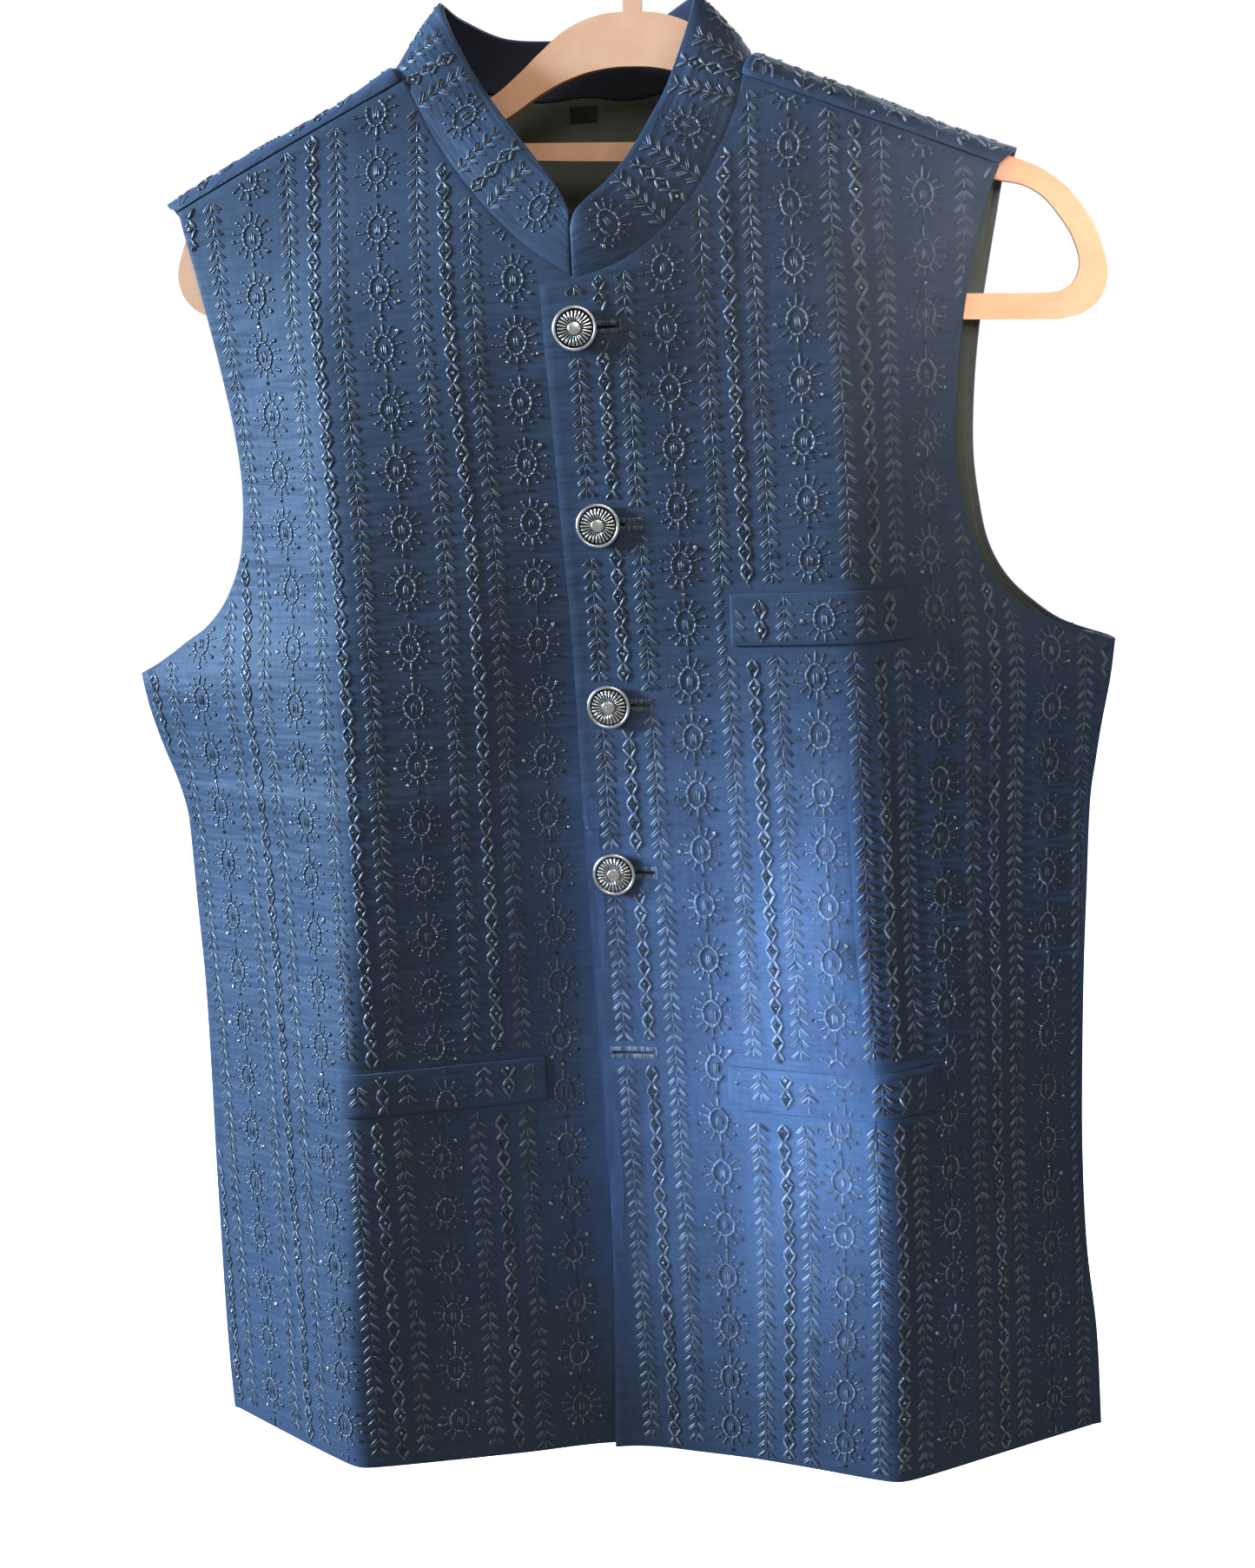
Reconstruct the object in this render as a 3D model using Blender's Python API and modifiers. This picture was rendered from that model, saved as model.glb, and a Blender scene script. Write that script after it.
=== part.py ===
"""Indian waistcoat with a stand collar, buttoned up, on a moulded hanger.

Frame: the origin is the inside top of the hanger's hook, +Z is up, the fronts
face -Y and the wearer's left is at +X. Left and right are the wearer's.

The cloth is worked out in its own frame, in millimetres: across from the
centre front (left side positive), down from the neck, and depth (front
negative). The garment leans a little on the hanger, so its pieces hang from
one empty that stands at the neck and is turned by that lean.
"""
import math
from collections import namedtuple

import bmesh
import bpy
from mathutils import Matrix, Vector

MM = 0.001
GAP = 0.3                 # clearance between pieces that are sewn or touch
LEFT, RIGHT = 1, -1       # the wearer's sides, as the sign of across

# Hang of the garment
NECK_AT = Vector((-28.1, 0.0, -86.0))
LEAN = math.radians(3.3)

# Walls
CLOTH = 2.0               # embroidered cloth with its interlining
BAND = 1.5                # collar's outer side
BAND_INSIDE = 1.2         # collar's inner side
LINING = 1.0
WELT = 1.5
TAB = 0.6

# Fronts
LAP = 1.8                 # each front stands off the other's middle by this
LAP_FROM, LAP_TO = 20.0, 60.0
PLACKET = 22.0            # half width that the buttoned middle flattens
FOLD_ROUND = 5.0          # softening of the pressed fold
CROSS_FOLD = 340.0        # level of the fold across the fronts
CROSS_RISE, CROSS_WIDE = 1.3, 9.0
SEAM_EASE = 1.1           # each side of a side seam, from the seam line
INNER_STEPS = (0.0, 0.16, 0.32, 0.48, 0.63, 0.76, 0.86, 0.94, 1.0)
OUTER_STEPS = (0.07, 0.17, 0.32, 0.52, 0.75, 1.0)

Section = namedtuple("Section", "place left left_down left_out left_out_down "
                                "right right_down right_out right_out_down")
# One row for each section of the fronts, shoulder to hem: where its inner
# edge and its outer edge are, across and down, on either front.
SECTIONS = (
    Section("shoulder seam", 79.7, 14.8, 193.6, 61.7, 77.0, 6.0, 190.0, 58.2),
    Section("neck", 76.5, 28.0, 188.0, 75.0, 70.5, 20.0, 187.0, 73.0),
    Section("neck", 69.4, 44.4, 182.0, 94.0, 63.7, 33.2, 183.0, 91.0),
    Section("neck", 57.3, 65.2, 177.5, 116.0, 54.5, 47.5, 178.3, 115.0),
    Section("neck", 41.1, 81.7, 174.0, 138.0, 44.6, 60.6, 174.3, 138.0),
    Section("neck", 23.0, 94.5, 171.4, 162.0, 33.0, 73.8, 170.6, 162.0),
    Section("left collar end", 0.5, 101.4, 170.1, 186.0, 19.0, 87.0, 168.7, 186.0),
    Section("right collar end", -14.8, 103.0, 171.6, 206.0, 0.6, 99.8, 170.0, 206.0),
    Section("first button", -14.5, 120.0, 176.0, 224.5, -12.0, 103.0, 174.0, 224.5),
    Section("armhole", -13.8, 140.0, 184.0, 243.0, -18.0, 122.0, 183.0, 242.0),
    Section("armhole", -13.0, 160.0, 195.0, 258.0, -18.0, 145.0, 195.0, 255.5),
    Section("armhole", -12.4, 180.0, 208.5, 267.5, -18.0, 168.0, 207.5, 263.5),
    Section("armhole", -11.8, 200.0, 225.0, 274.8, -18.0, 193.0, 220.0, 271.5),
    Section("underarm", -11.0, 222.0, 243.6, 281.5, -18.0, 220.0, 235.4, 279.2),
    Section("chest", -10.0, 248.0, 240.8, 300.0, -18.0, 248.0, 231.5, 300.0),
    Section("chest", -9.6, 278.0, 236.8, 320.0, -18.0, 278.0, 226.2, 320.0),
    Section("above fold", -9.5, 320.0, 233.2, 340.0, -18.0, 320.0, 219.6, 338.0),
    Section("cross fold", -9.5, 340.0, 231.2, 352.0, -18.0, 340.0, 217.2, 350.0),
    Section("below fold", -9.5, 360.0, 229.8, 368.0, -18.0, 360.0, 216.8, 366.0),
    Section("waist", -9.2, 395.0, 228.2, 400.0, -18.0, 395.0, 216.5, 398.0),
    Section("waist", -8.8, 435.0, 226.2, 438.0, -18.0, 435.0, 215.6, 437.0),
    Section("pocket", -8.3, 480.0, 224.6, 482.0, -18.0, 480.0, 216.4, 481.0),
    Section("hip", -8.0, 530.0, 223.6, 532.0, -18.0, 530.0, 217.9, 530.0),
    Section("hip", -8.8, 580.0, 224.8, 582.0, -18.0, 580.0, 218.8, 578.0),
    Section("hip", -10.6, 628.0, 229.2, 630.0, -18.0, 628.0, 219.6, 625.0),
    Section("hem", -13.2, 676.6, 230.6, 679.0, -18.0, 677.0, 219.4, 670.5),
)
UNDERARM_ROW = 13
LEFT_COLLAR_ROW, RIGHT_COLLAR_ROW = 6, 7

Fold = namedtuple("Fold", "down centre left_at right_at crest left_flank right_flank")
# How the fronts stand forward, level by level: depth at the centre, the place
# of the pressed fold on either front, its depth, and the slope outside it.
FRONT_FORM = (
    Fold(10.0, -16.0, 124.0, 126.0, -15.5, 0.01, 0.01),
    Fold(35.0, -25.0, 124.0, 126.0, -20.0, 0.07, 0.07),
    Fold(60.0, -38.0, 122.0, 126.0, -26.0, 0.14, 0.14),
    Fold(80.0, -42.5, 120.0, 125.0, -31.0, 0.20, 0.21),
    Fold(100.0, -46.0, 120.0, 124.0, -37.0, 0.28, 0.30),
    Fold(165.0, -48.5, 122.0, 118.7, -51.0, 0.56, 0.54),
    Fold(245.0, -50.0, 122.0, 113.0, -62.0, 0.63, 0.60),
    Fold(281.0, -50.0, 119.0, 112.5, -66.5, 0.49, 0.50),
    Fold(340.0, -50.0, 114.5, 113.5, -71.0, 0.53, 0.60),
    Fold(415.0, -50.0, 114.5, 118.5, -76.5, 0.58, 0.67),
    Fold(495.0, -50.0, 120.5, 124.0, -82.0, 0.64, 0.72),
    Fold(640.0, -50.0, 121.0, 132.5, -88.0, 0.63, 0.75),
    Fold(690.0, -50.0, 123.5, 132.5, -89.0, 0.63, 0.76),
)

# Back
ROLL = 1.17               # height of the rounding behind the shoulder, by its depth
ROLL_ROWS = 8
BACK_CURVE = 2.3          # how full the back is between its side seams
NECK_SHARE = 0.48         # share of the back's half width under the neck
WING_STEPS = 5
NECK_COLUMN = 95.0        # where the column from the neck corner passes behind

Ridge = namedtuple("Ridge", "across left_down right_down")
# The top line of the shoulders, from the neck's middle to the shoulder's end
RIDGE = (
    Ridge(0.0, -31.0, -31.0),
    Ridge(40.0, -15.0, -18.0),
    Ridge(81.8, 2.8, -2.8),
    Ridge(107.0, 14.3, 11.8),
    Ridge(130.0, 23.9, 22.4),
    Ridge(155.0, 35.3, 32.8),
    Ridge(178.0, 45.4, 43.8),
    Ridge(203.0, 54.8, 56.2),
)

Tip = namedtuple("Tip", "roll left right")
# Outer edge of the back over the shoulder, by the angle round the ridge
SHOULDER_END = (
    Tip(-90.0, 193.6, 190.0),
    Tip(-45.0, 199.5, 196.5),
    Tip(0.0, 202.5, 199.2),
    Tip(45.0, 201.5, 198.5),
    Tip(90.0, 197.0, 195.0),
)

NeckStep = namedtuple("NeckStep", "share across roll")
# Back neckline, from the centre back to the forward seam
BACK_NECK = (
    NeckStep(0.0, 0.0, 86.0),
    NeckStep(0.22, 22.0, 79.0),
    NeckStep(0.44, 45.0, 63.0),
    NeckStep(0.62, 66.0, 42.0),
    NeckStep(0.78, 78.5, 17.0),
    NeckStep(0.88, 81.8, 0.0),
    NeckStep(1.0, 79.7, -90.0),
)

BackRow = namedtuple("BackRow", "down edge_down left right set_back")
# Sections of the back from the shoulder blades to the underarm: level at the
# centre and at the armhole, the armhole's place, and how far its edge stands
# behind the underarm point.
BACK_ROWS = (
    BackRow(57.0, 84.0, 193.0, 191.0, 14.0),
    BackRow(84.0, 106.0, 188.8, 187.0, 14.0),
    BackRow(110.0, 130.0, 184.6, 183.0, 14.0),
    BackRow(137.0, 160.0, 181.2, 179.5, 14.0),
    BackRow(163.0, 190.0, 180.0, 178.5, 14.0),
    BackRow(186.0, 213.0, 182.0, 180.5, 13.4),
    BackRow(207.0, 234.0, 186.0, 185.5, 11.6),
    BackRow(225.0, 250.0, 194.0, 194.5, 8.6),
    BackRow(241.0, 262.5, 206.0, 206.0, 4.8),
    BackRow(258.0, 273.0, 220.5, 219.0, 1.8),
)
BACK_SIDE_ROWS = (13, 14, 15, 17, 19, 20, 21, 22, 23, 24, 25)

BackForm = namedtuple("BackForm", "down centre")
BACK_FORM = (
    BackForm(-40.0, 41.0),
    BackForm(100.0, 42.0),
    BackForm(240.0, 43.0),
    BackForm(400.0, 39.0),
    BackForm(690.0, 34.0),
)
LINING_GAP = 0.6          # between the lining and the back
LINING_INSET = 3.0        # the lining's edges inside the back's
LINING_RISE = 9.0         # the lining's hem above the back's

# Stand collar
COLLAR_LIFT = 1.5         # its lower edge above the neck seam line
COLLAR_ROWS = 3
COLLAR_STATIONS = 46
COLLAR_CROWN = 1.2        # how much the band swells outward between its edges

CollarTop = namedtuple("CollarTop", "share across down depth")
# Upper edge of the collar from its left end round the back to its right end,
# by the share of the neck seam below it
COLLAR_TOP = (
    CollarTop(0.000, 0.6, 79.0, -46.5),
    CollarTop(0.012, 2.2, 73.0, -46.3),
    CollarTop(0.045, 7.0, 67.3, -45.0),
    CollarTop(0.094, 19.2, 57.0, -39.0),
    CollarTop(0.143, 30.0, 43.0, -32.0),
    CollarTop(0.195, 38.3, 29.4, -24.0),
    CollarTop(0.245, 47.0, 12.5, -18.0),
    CollarTop(0.300, 58.5, -21.5, -3.0),
    CollarTop(0.355, 53.5, -24.0, 15.0),
    CollarTop(0.405, 37.0, -18.0, 30.5),
    CollarTop(0.455, 18.0, -14.5, 36.5),
    CollarTop(0.500, 0.0, -13.5, 37.5),
    CollarTop(0.545, -18.0, -13.5, 36.5),
    CollarTop(0.590, -37.0, -15.5, 30.5),
    CollarTop(0.640, -53.5, -23.0, 15.0),
    CollarTop(0.700, -60.0, -27.5, -2.0),
    CollarTop(0.760, -48.0, -1.5, -13.0),
    CollarTop(0.815, -37.0, 17.0, -19.0),
    CollarTop(0.880, -20.5, 39.5, -30.0),
    CollarTop(0.940, -5.5, 60.0, -39.0),
    CollarTop(1.000, 0.0, 71.5, -42.5),
)

Welt = namedtuple("Welt", "name side inner outer top bottom outer_drop")
# Pocket welts: place across, and down to the upper and lower edge; the outer
# end stands this much lower than the inner one
WELTS = (
    Welt("chest_welt", LEFT, 65.4, 147.0, 247.0, 270.5, 0.8),
    Welt("pocket_welt_left", LEFT, 54.5, 151.5, 472.4, 493.6, 1.6),
    Welt("pocket_welt_right", RIGHT, 36.0, 132.8, 468.2, 489.8, 0.4),
)
WELT_EDGE = 3.0           # least width of a facet at a welt's ends

Button = namedtuple("Button", "name across down")
BUTTONS = (
    Button("button_1", 0.6, 123.4),
    Button("button_2", 6.2, 212.7),
    Button("button_3", 6.4, 297.1),
    Button("button_4", 4.2, 377.6),
)
BUTTON_OFF = 1.1          # the button's back above the cloth's face
SHANK = 0.75
# Half profile of a button, from the middle of its face to its flat back:
# radius and height
BUTTON_PROFILE = (
    (0.0, 4.5), (1.5, 4.3), (2.0, 3.8), (4.8, 3.9), (6.6, 3.0), (7.5, 2.0),
    (8.9, 3.2), (10.0, 2.6), (10.3, 1.6), (9.6, 0.5), (8.6, 0.0),
)
BUTTON_SIDES = 20

SLOT_LONG, SLOT_TALL = 23.0, 2.2
BARE_SLOT = (8.0, 467.5)  # middle of the buttonhole that has no button
SLOT_INSET = 2.6          # from a slot's inner end to the shank

TAB_AT = (-7.6, 5.6, 17.6, 25.6)   # size tab: across from and to, down from and to

# Hanger, measured from the crown's top, which is this far below the origin
CROWN_DROP = 66.0
HANGER_THICK = 6.0
HANGER_EDGE = 1.2         # rounding of its edges
NUB_WIDE, NUB_TALL = 4.2, 5.0
BOTTOM_BAR = (-127.0, -138.8)
TIE_BAR = (-58.0, -66.6)
# Half outlines from the middle to the end: across and up
CROWN_LINE = (
    (15.0, -1.4), (30.0, -7.2), (42.5, -17.2), (54.1, -27.9), (66.5, -37.4),
    (86.0, -44.5), (115.0, -52.0), (150.0, -60.5), (174.2, -65.6),
    (192.5, -73.8), (208.6, -88.9), (218.5, -108.4), (220.4, -121.0),
    (215.0, -132.2), (203.0, -138.0), (189.0, BOTTOM_BAR[1]),
)
NECK_HOLE = (
    (0.0, -24.2), (17.0, -25.8), (31.0, -30.2), (44.0, -37.0), (56.0, -45.0),
    (68.0, -52.0), (76.0, TIE_BAR[0]),
)
ARM_HOLE = (
    (0.0, TIE_BAR[1]), (112.0, TIE_BAR[1]), (140.0, -69.6), (168.3, -76.0),
    (184.5, -80.0), (198.3, -92.8), (206.8, -108.3), (207.6, -116.5),
    (203.0, -124.2), (193.0, BOTTOM_BAR[0]), (0.0, BOTTOM_BAR[0]),
)
HOOK_WIRE = 1.75
HOOK_INSIDE = 20.0
HOOK_STEM = 12.0          # straight wire above the nub
HOOK_FROM, HOOK_TO = -48.0, 198.0   # its arc, in degrees
HOOK_POINTS = 18

NAVY = (0.030, 0.062, 0.145)
DARK_NAVY = (0.016, 0.021, 0.040)
OLIVE = (0.040, 0.043, 0.034)
BLACK = (0.006, 0.006, 0.007)
SILVER = (0.42, 0.42, 0.47)
PEACH = (0.84, 0.50, 0.36)
STEEL = (0.62, 0.62, 0.63)


def clear_scene():
    """Remove what the scene holds before anything is made."""
    for thing in list(bpy.data.objects):
        bpy.data.objects.remove(thing, do_unlink=True)


def material(name, color, roughness, metallic=0.0):
    """A plain surface of one colour."""
    made = bpy.data.materials.new(name)
    made.use_nodes = True
    shader = made.node_tree.nodes["Principled BSDF"]
    shader.inputs["Base Color"].default_value = (*color, 1.0)
    shader.inputs["Roughness"].default_value = roughness
    shader.inputs["Metallic"].default_value = metallic
    made.diffuse_color = (*color, 1.0)
    return made


def glide(rows, column, at):
    """Value of a column on the smooth curve through the rows' first column."""
    steps = [row[0] for row in rows]
    values = [getattr(row, column) for row in rows]
    if at <= steps[0]:
        return values[0]
    if at >= steps[-1]:
        return values[-1]
    here = max(i for i, step in enumerate(steps) if step <= at)

    def slope(i):
        before, after = max(i - 1, 0), min(i + 1, len(steps) - 1)
        return (values[after] - values[before]) / (steps[after] - steps[before])

    span = steps[here + 1] - steps[here]
    t = (at - steps[here]) / span
    start, end = values[here], values[here + 1]
    return ((2 * t ** 3 - 3 * t ** 2 + 1) * start + (t ** 3 - 2 * t ** 2 + t) * span * slope(here)
            + (3 * t ** 2 - 2 * t ** 3) * end + (t ** 3 - t ** 2) * span * slope(here + 1))


def mix(a, b, t):
    """The value or point a share t of the way from a to b."""
    return a + (b - a) * t


def ease(t):
    """A soft step from 0 to 1."""
    t = min(max(t, 0.0), 1.0)
    return t * t * (3.0 - 2.0 * t)


def side_name(side):
    """The word that a table's columns use for a side."""
    return "left" if side == LEFT else "right"


def point(across, down, depth):
    """A place in the garment's frame as a vector."""
    return Vector((across, depth, -down))


def front_depth(side, across, down):
    """Depth of a front's middle surface."""
    centre = glide(FRONT_FORM, "centre", down)
    fold = glide(FRONT_FORM, side_name(side) + "_at", down)
    crest = glide(FRONT_FORM, "crest", down)
    flank = glide(FRONT_FORM, side_name(side) + "_flank", down)
    out = abs(across)
    rise = (crest - centre) / fold
    inside = centre + rise * (math.hypot(out, PLACKET) - PLACKET)
    outside = crest + flank * (out - fold)
    turn = FOLD_ROUND * ease((flank - rise) / 0.9)
    depth = (inside + outside) / 2 + math.hypot((inside - outside) / 2, turn / 2)
    lap = LAP * (1.0 - ease((out - LAP_FROM) / (LAP_TO - LAP_FROM)))
    cross = CROSS_RISE * math.exp(-((down - CROSS_FOLD) / CROSS_WIDE) ** 2)
    return depth - side * lap - cross


def front_point(side, across, down):
    """A place on a front's middle surface."""
    return point(across, down, front_depth(side, across, down))


def section_edges(section, side):
    """Inner and outer edge of a section on one front: across, down."""
    if side == LEFT:
        return section.left, section.left_down, section.left_out, section.left_out_down
    return section.right, section.right_down, section.right_out, section.right_out_down


def front_places(section, side):
    """Places across a front's section, close together near the fold."""
    inner, inner_down, outer, outer_down = section_edges(section, side)
    fold = glide(FRONT_FORM, side_name(side) + "_at", mix(inner_down, outer_down, 0.5))
    return ([mix(inner, fold, step) for step in INNER_STEPS]
            + [mix(fold, outer, step) for step in OUTER_STEPS])


def front_grid(side):
    """Rows of points over one front, from the shoulder seam to the hem."""
    grid = []
    for section in SECTIONS:
        inner, inner_down, outer, outer_down = section_edges(section, side)
        if section.place == "shoulder seam":
            inner_down += GAP
            outer_down += GAP
        row = []
        for place in front_places(section, side):
            down = mix(inner_down, outer_down, (place - inner) / (outer - inner))
            row.append(front_point(side, side * place, down))
        if len(grid) >= UNDERARM_ROW:
            row[-1].y -= SEAM_EASE
        grid.append(row)
    return grid


def seam_down(side, across):
    """Level of the forward shoulder seam at a place across."""
    inner, inner_down, outer, outer_down = section_edges(SECTIONS[0], side)
    return mix(inner_down, outer_down, (abs(across) - inner) / (outer - inner))


def underarm_depth(side):
    """Depth of the side seam at the underarm, on the back."""
    _, _, outer, outer_down = section_edges(SECTIONS[UNDERARM_ROW], side)
    return front_depth(side, side * outer, outer_down) + 2 * SEAM_EASE


def back_depth(across, down, edge, edge_depth):
    """Depth of the back between its centre and an edge."""
    centre = glide(BACK_FORM, "centre", down)
    full = 1.0 - min(abs(across) / edge, 1.0) ** BACK_CURVE
    return mix(edge_depth, centre, full)


def roll_point(side, across, roll):
    """A place on the shoulder, by its angle round the ridge in degrees."""
    top = glide(RIDGE, side_name(side) + "_down", abs(across))
    turn = math.radians(abs(roll))
    if roll < 0:
        seam = seam_down(side, across)
        depth = front_depth(side, across, seam)
        return point(across, mix(seam - GAP, top, math.cos(turn)), depth * math.sin(turn))
    edge = SHOULDER_END[-1].left if side == LEFT else SHOULDER_END[-1].right
    depth = back_depth(across, top, edge, underarm_depth(side) + BACK_ROWS[0].set_back)
    return point(across, top + ROLL * depth * (1.0 - math.cos(turn)), depth * math.sin(turn))


def neck_step(share):
    """Place across and angle round the ridge on the back neckline."""
    return glide(BACK_NECK, "across", share), glide(BACK_NECK, "roll", share)


def back_columns():
    """Shares of the half width: first those below the neck, then the wings."""
    neck = [row.share * NECK_SHARE for row in BACK_NECK]
    wing = [mix(NECK_SHARE, 1.0, step / WING_STEPS) for step in range(1, WING_STEPS + 1)]
    return neck, wing


def back_half(side):
    """Rows of points over one half of the back, from its centre outward."""
    neck, wing = back_columns()
    word = side_name(side)
    grid = []
    for step in range(ROLL_ROWS + 1):
        share = step / ROLL_ROWS
        row = []
        for column in neck:
            start, roll = neck_step(column / NECK_SHARE)
            roll = mix(roll, 90.0, share)
            end = column / NECK_SHARE * NECK_COLUMN
            row.append(roll_point(side, side * mix(start, end, share), roll))
        for column in wing:
            roll = mix(-90.0, 90.0, share)
            inner = mix(BACK_NECK[-1].across, NECK_COLUMN, share)
            outer = glide(SHOULDER_END, word, roll)
            place = mix(inner, outer, (column - NECK_SHARE) / (1.0 - NECK_SHARE))
            row.append(roll_point(side, side * place, roll))
        grid.append(row)
    under = underarm_depth(side)
    levels = [(r.down, r.edge_down, getattr(r, word), under + r.set_back) for r in BACK_ROWS]
    for index in BACK_SIDE_ROWS:
        _, inner_down, outer, outer_down = section_edges(SECTIONS[index], side)
        depth = front_depth(side, side * outer, outer_down) + SEAM_EASE
        centre_down = mix(inner_down, outer_down, 0.9)
        levels.append((centre_down, outer_down, outer, depth))
    for down, edge_down, edge, depth in levels:
        row = []
        for column in neck + wing:
            place = side * column * edge
            level = mix(down, edge_down, column ** 2)
            row.append(point(place, level, back_depth(place, level, edge, depth)))
        grid.append(row)
    return grid


def back_grid():
    """Rows of points over the whole back, from the left edge to the right."""
    grid = []
    for left, right in zip(back_half(LEFT), back_half(RIGHT)):
        grid.append(left[:0:-1] + [(left[0] + right[0]) / 2] + right[1:])
    return grid


def trimmed(grid, inset, rise):
    """A grid cut back by an inset at both ends of its rows and a rise at its hem."""
    cut = [list(row) for row in grid]
    for row in cut:
        for end, beside in ((0, 1), (-1, -2)):
            row[end] = row[end] + (row[beside] - row[end]).normalized() * inset
    cut[-1] = [a + (b - a).normalized() * rise for a, b in zip(cut[-1], cut[-2])]
    return cut


def neck_seam():
    """The neck seam line, from the collar's left end round to its right end."""
    line = []
    for row in range(LEFT_COLLAR_ROW, -1, -1):
        section = SECTIONS[row]
        line.append(front_point(LEFT, section.left, section.left_down))
    neck = [neck_step(row.share) for row in BACK_NECK]
    line += [roll_point(LEFT, across, roll) for across, roll in neck[-2:0:-1]]
    line.append((roll_point(LEFT, 0.0, neck[0][1]) + roll_point(RIGHT, 0.0, neck[0][1])) / 2)
    line += [roll_point(RIGHT, -across, roll) for across, roll in neck[1:-1]]
    for row in range(RIGHT_COLLAR_ROW + 1):
        section = SECTIONS[row]
        line.append(front_point(RIGHT, -section.right, section.right_down))
    return line


def along(line, share):
    """The point a share of the way along a line of points."""
    lengths = [0.0]
    for a, b in zip(line, line[1:]):
        lengths.append(lengths[-1] + (b - a).length)
    want = share * lengths[-1]
    for i in range(len(line) - 1):
        if want <= lengths[i + 1] or i == len(line) - 2:
            return mix(line[i], line[i + 1], (want - lengths[i]) / (lengths[i + 1] - lengths[i]))
    return line[-1]


def collar_grid():
    """Rows of points over the collar, a row for each station round the neck."""
    seam = neck_seam()
    grid = []
    for station in range(COLLAR_STATIONS + 1):
        share = station / COLLAR_STATIONS
        low = along(seam, share)
        high = point(*(glide(COLLAR_TOP, c, share) for c in ("across", "down", "depth")))
        rise = (high - low).normalized()
        around = along(seam, min(share + 0.01, 1.0)) - along(seam, max(share - 0.01, 0.0))
        outward = around.cross(rise).normalized()
        low = low + rise * COLLAR_LIFT
        row = []
        for step in range(COLLAR_ROWS + 1):
            t = step / COLLAR_ROWS
            row.append(mix(low, high, t) + outward * COLLAR_CROWN * 4 * t * (1 - t))
        grid.append(row)
    return grid


def sheet(name, grid, wall, surface, collection, parent, off=0.0):
    """A wall of cloth along a grid of points; off moves it outward from them."""
    rows, columns = len(grid), len(grid[0])
    form = bmesh.new()
    bmesh.ops.create_grid(form, x_segments=columns - 1, y_segments=rows - 1, size=1.0)
    form.verts.ensure_lookup_table()
    for i, row in enumerate(grid):
        for j, place in enumerate(row):
            form.verts[i * columns + j].co = place * MM
    mesh = bpy.data.meshes.new(name)
    form.to_mesh(mesh)
    form.free()
    mesh.shade_smooth()
    made = bpy.data.objects.new(name, mesh)
    collection.objects.link(made)
    made.parent = parent
    mesh.materials.append(surface)
    solid = made.modifiers.new("wall", 'SOLIDIFY')
    solid.thickness = wall * MM
    solid.offset = -2.0 * off / wall
    solid.use_even_offset = True
    return made


def welt_grid(welt):
    """Rows of points over a pocket welt, on the front's surface."""
    grid = []
    middle = (welt.top + welt.bottom) / 2
    level = min(SECTIONS, key=lambda row: abs(row.left_down + row.left_out_down - 2 * middle))
    places = [place for place in front_places(level, welt.side)
              if welt.inner + WELT_EDGE < place < welt.outer - WELT_EDGE]
    for share in (0.0, 0.5, 1.0):
        row = []
        for place in [welt.inner, *places, welt.outer]:
            t = (place - welt.inner) / (welt.outer - welt.inner)
            down = mix(welt.top, welt.bottom, share) + welt.outer_drop * t
            row.append(front_point(welt.side, welt.side * place, down))
        grid.append(row)
    return grid if welt.side == LEFT else [row[::-1] for row in grid]


def cloth_frame(side, across, down):
    """Place and facing of a spot on a front: a matrix whose Z leaves the cloth."""
    reach = 4.0
    here = front_point(side, across, down)
    over = front_point(side, across + reach, down) - front_point(side, across - reach, down)
    up = front_point(side, across, down - reach) - front_point(side, across, down + reach)
    out = over.cross(up).normalized()
    over = over.normalized()
    turn = Matrix((over, out.cross(over), out)).transposed().to_4x4()
    return here, out, turn


def buttonhole_cutter(collection, parent):
    """Five slots in one cutter, where the buttons' shanks pass and below them."""
    form = bmesh.new()
    middles = [(b.across + SLOT_LONG / 2 - SLOT_INSET, b.down) for b in BUTTONS]
    for across, down in middles + [BARE_SLOT]:
        here, _, turn = cloth_frame(LEFT, across, down)
        size = Matrix.Diagonal((SLOT_LONG * MM, SLOT_TALL * MM, 4 * CLOTH * MM, 1.0))
        bmesh.ops.create_cube(form, size=1.0, matrix=Matrix.Translation(here * MM) @ turn @ size)
    mesh = bpy.data.meshes.new("buttonhole_slots")
    form.to_mesh(mesh)
    form.free()
    cutter = bpy.data.objects.new("buttonhole_slots", mesh)
    collection.objects.link(cutter)
    cutter.parent = parent
    cutter.hide_render = True
    cutter.display_type = 'WIRE'
    return cutter


def button(spec, surface, collection, parent):
    """A turned button whose shank goes through the left front to the right one."""
    here, out, turn = cloth_frame(LEFT, spec.across, spec.down)
    shank_end = BUTTON_OFF + 2 * LAP - 2 * GAP
    profile = list(BUTTON_PROFILE) + [(SHANK, 0.0), (SHANK, -shank_end), (0.0, -shank_end)]
    form = bmesh.new()
    corners = [form.verts.new((radius * MM, 0.0, height * MM)) for radius, height in profile]
    for a, b in zip(corners, corners[1:]):
        form.edges.new((a, b))
    mesh = bpy.data.meshes.new(spec.name)
    form.to_mesh(mesh)
    form.free()
    made = bpy.data.objects.new(spec.name, mesh)
    collection.objects.link(made)
    made.parent = parent
    mesh.materials.append(surface)
    lathe = made.modifiers.new("turned", 'SCREW')
    lathe.steps = BUTTON_SIDES
    lathe.render_steps = BUTTON_SIDES
    lathe.use_merge_vertices = True
    lathe.merge_threshold = 0.00001
    base = here + out * (CLOTH / 2 + BUTTON_OFF)
    made.matrix_local = Matrix.Translation(base * MM) @ turn
    return made


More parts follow.
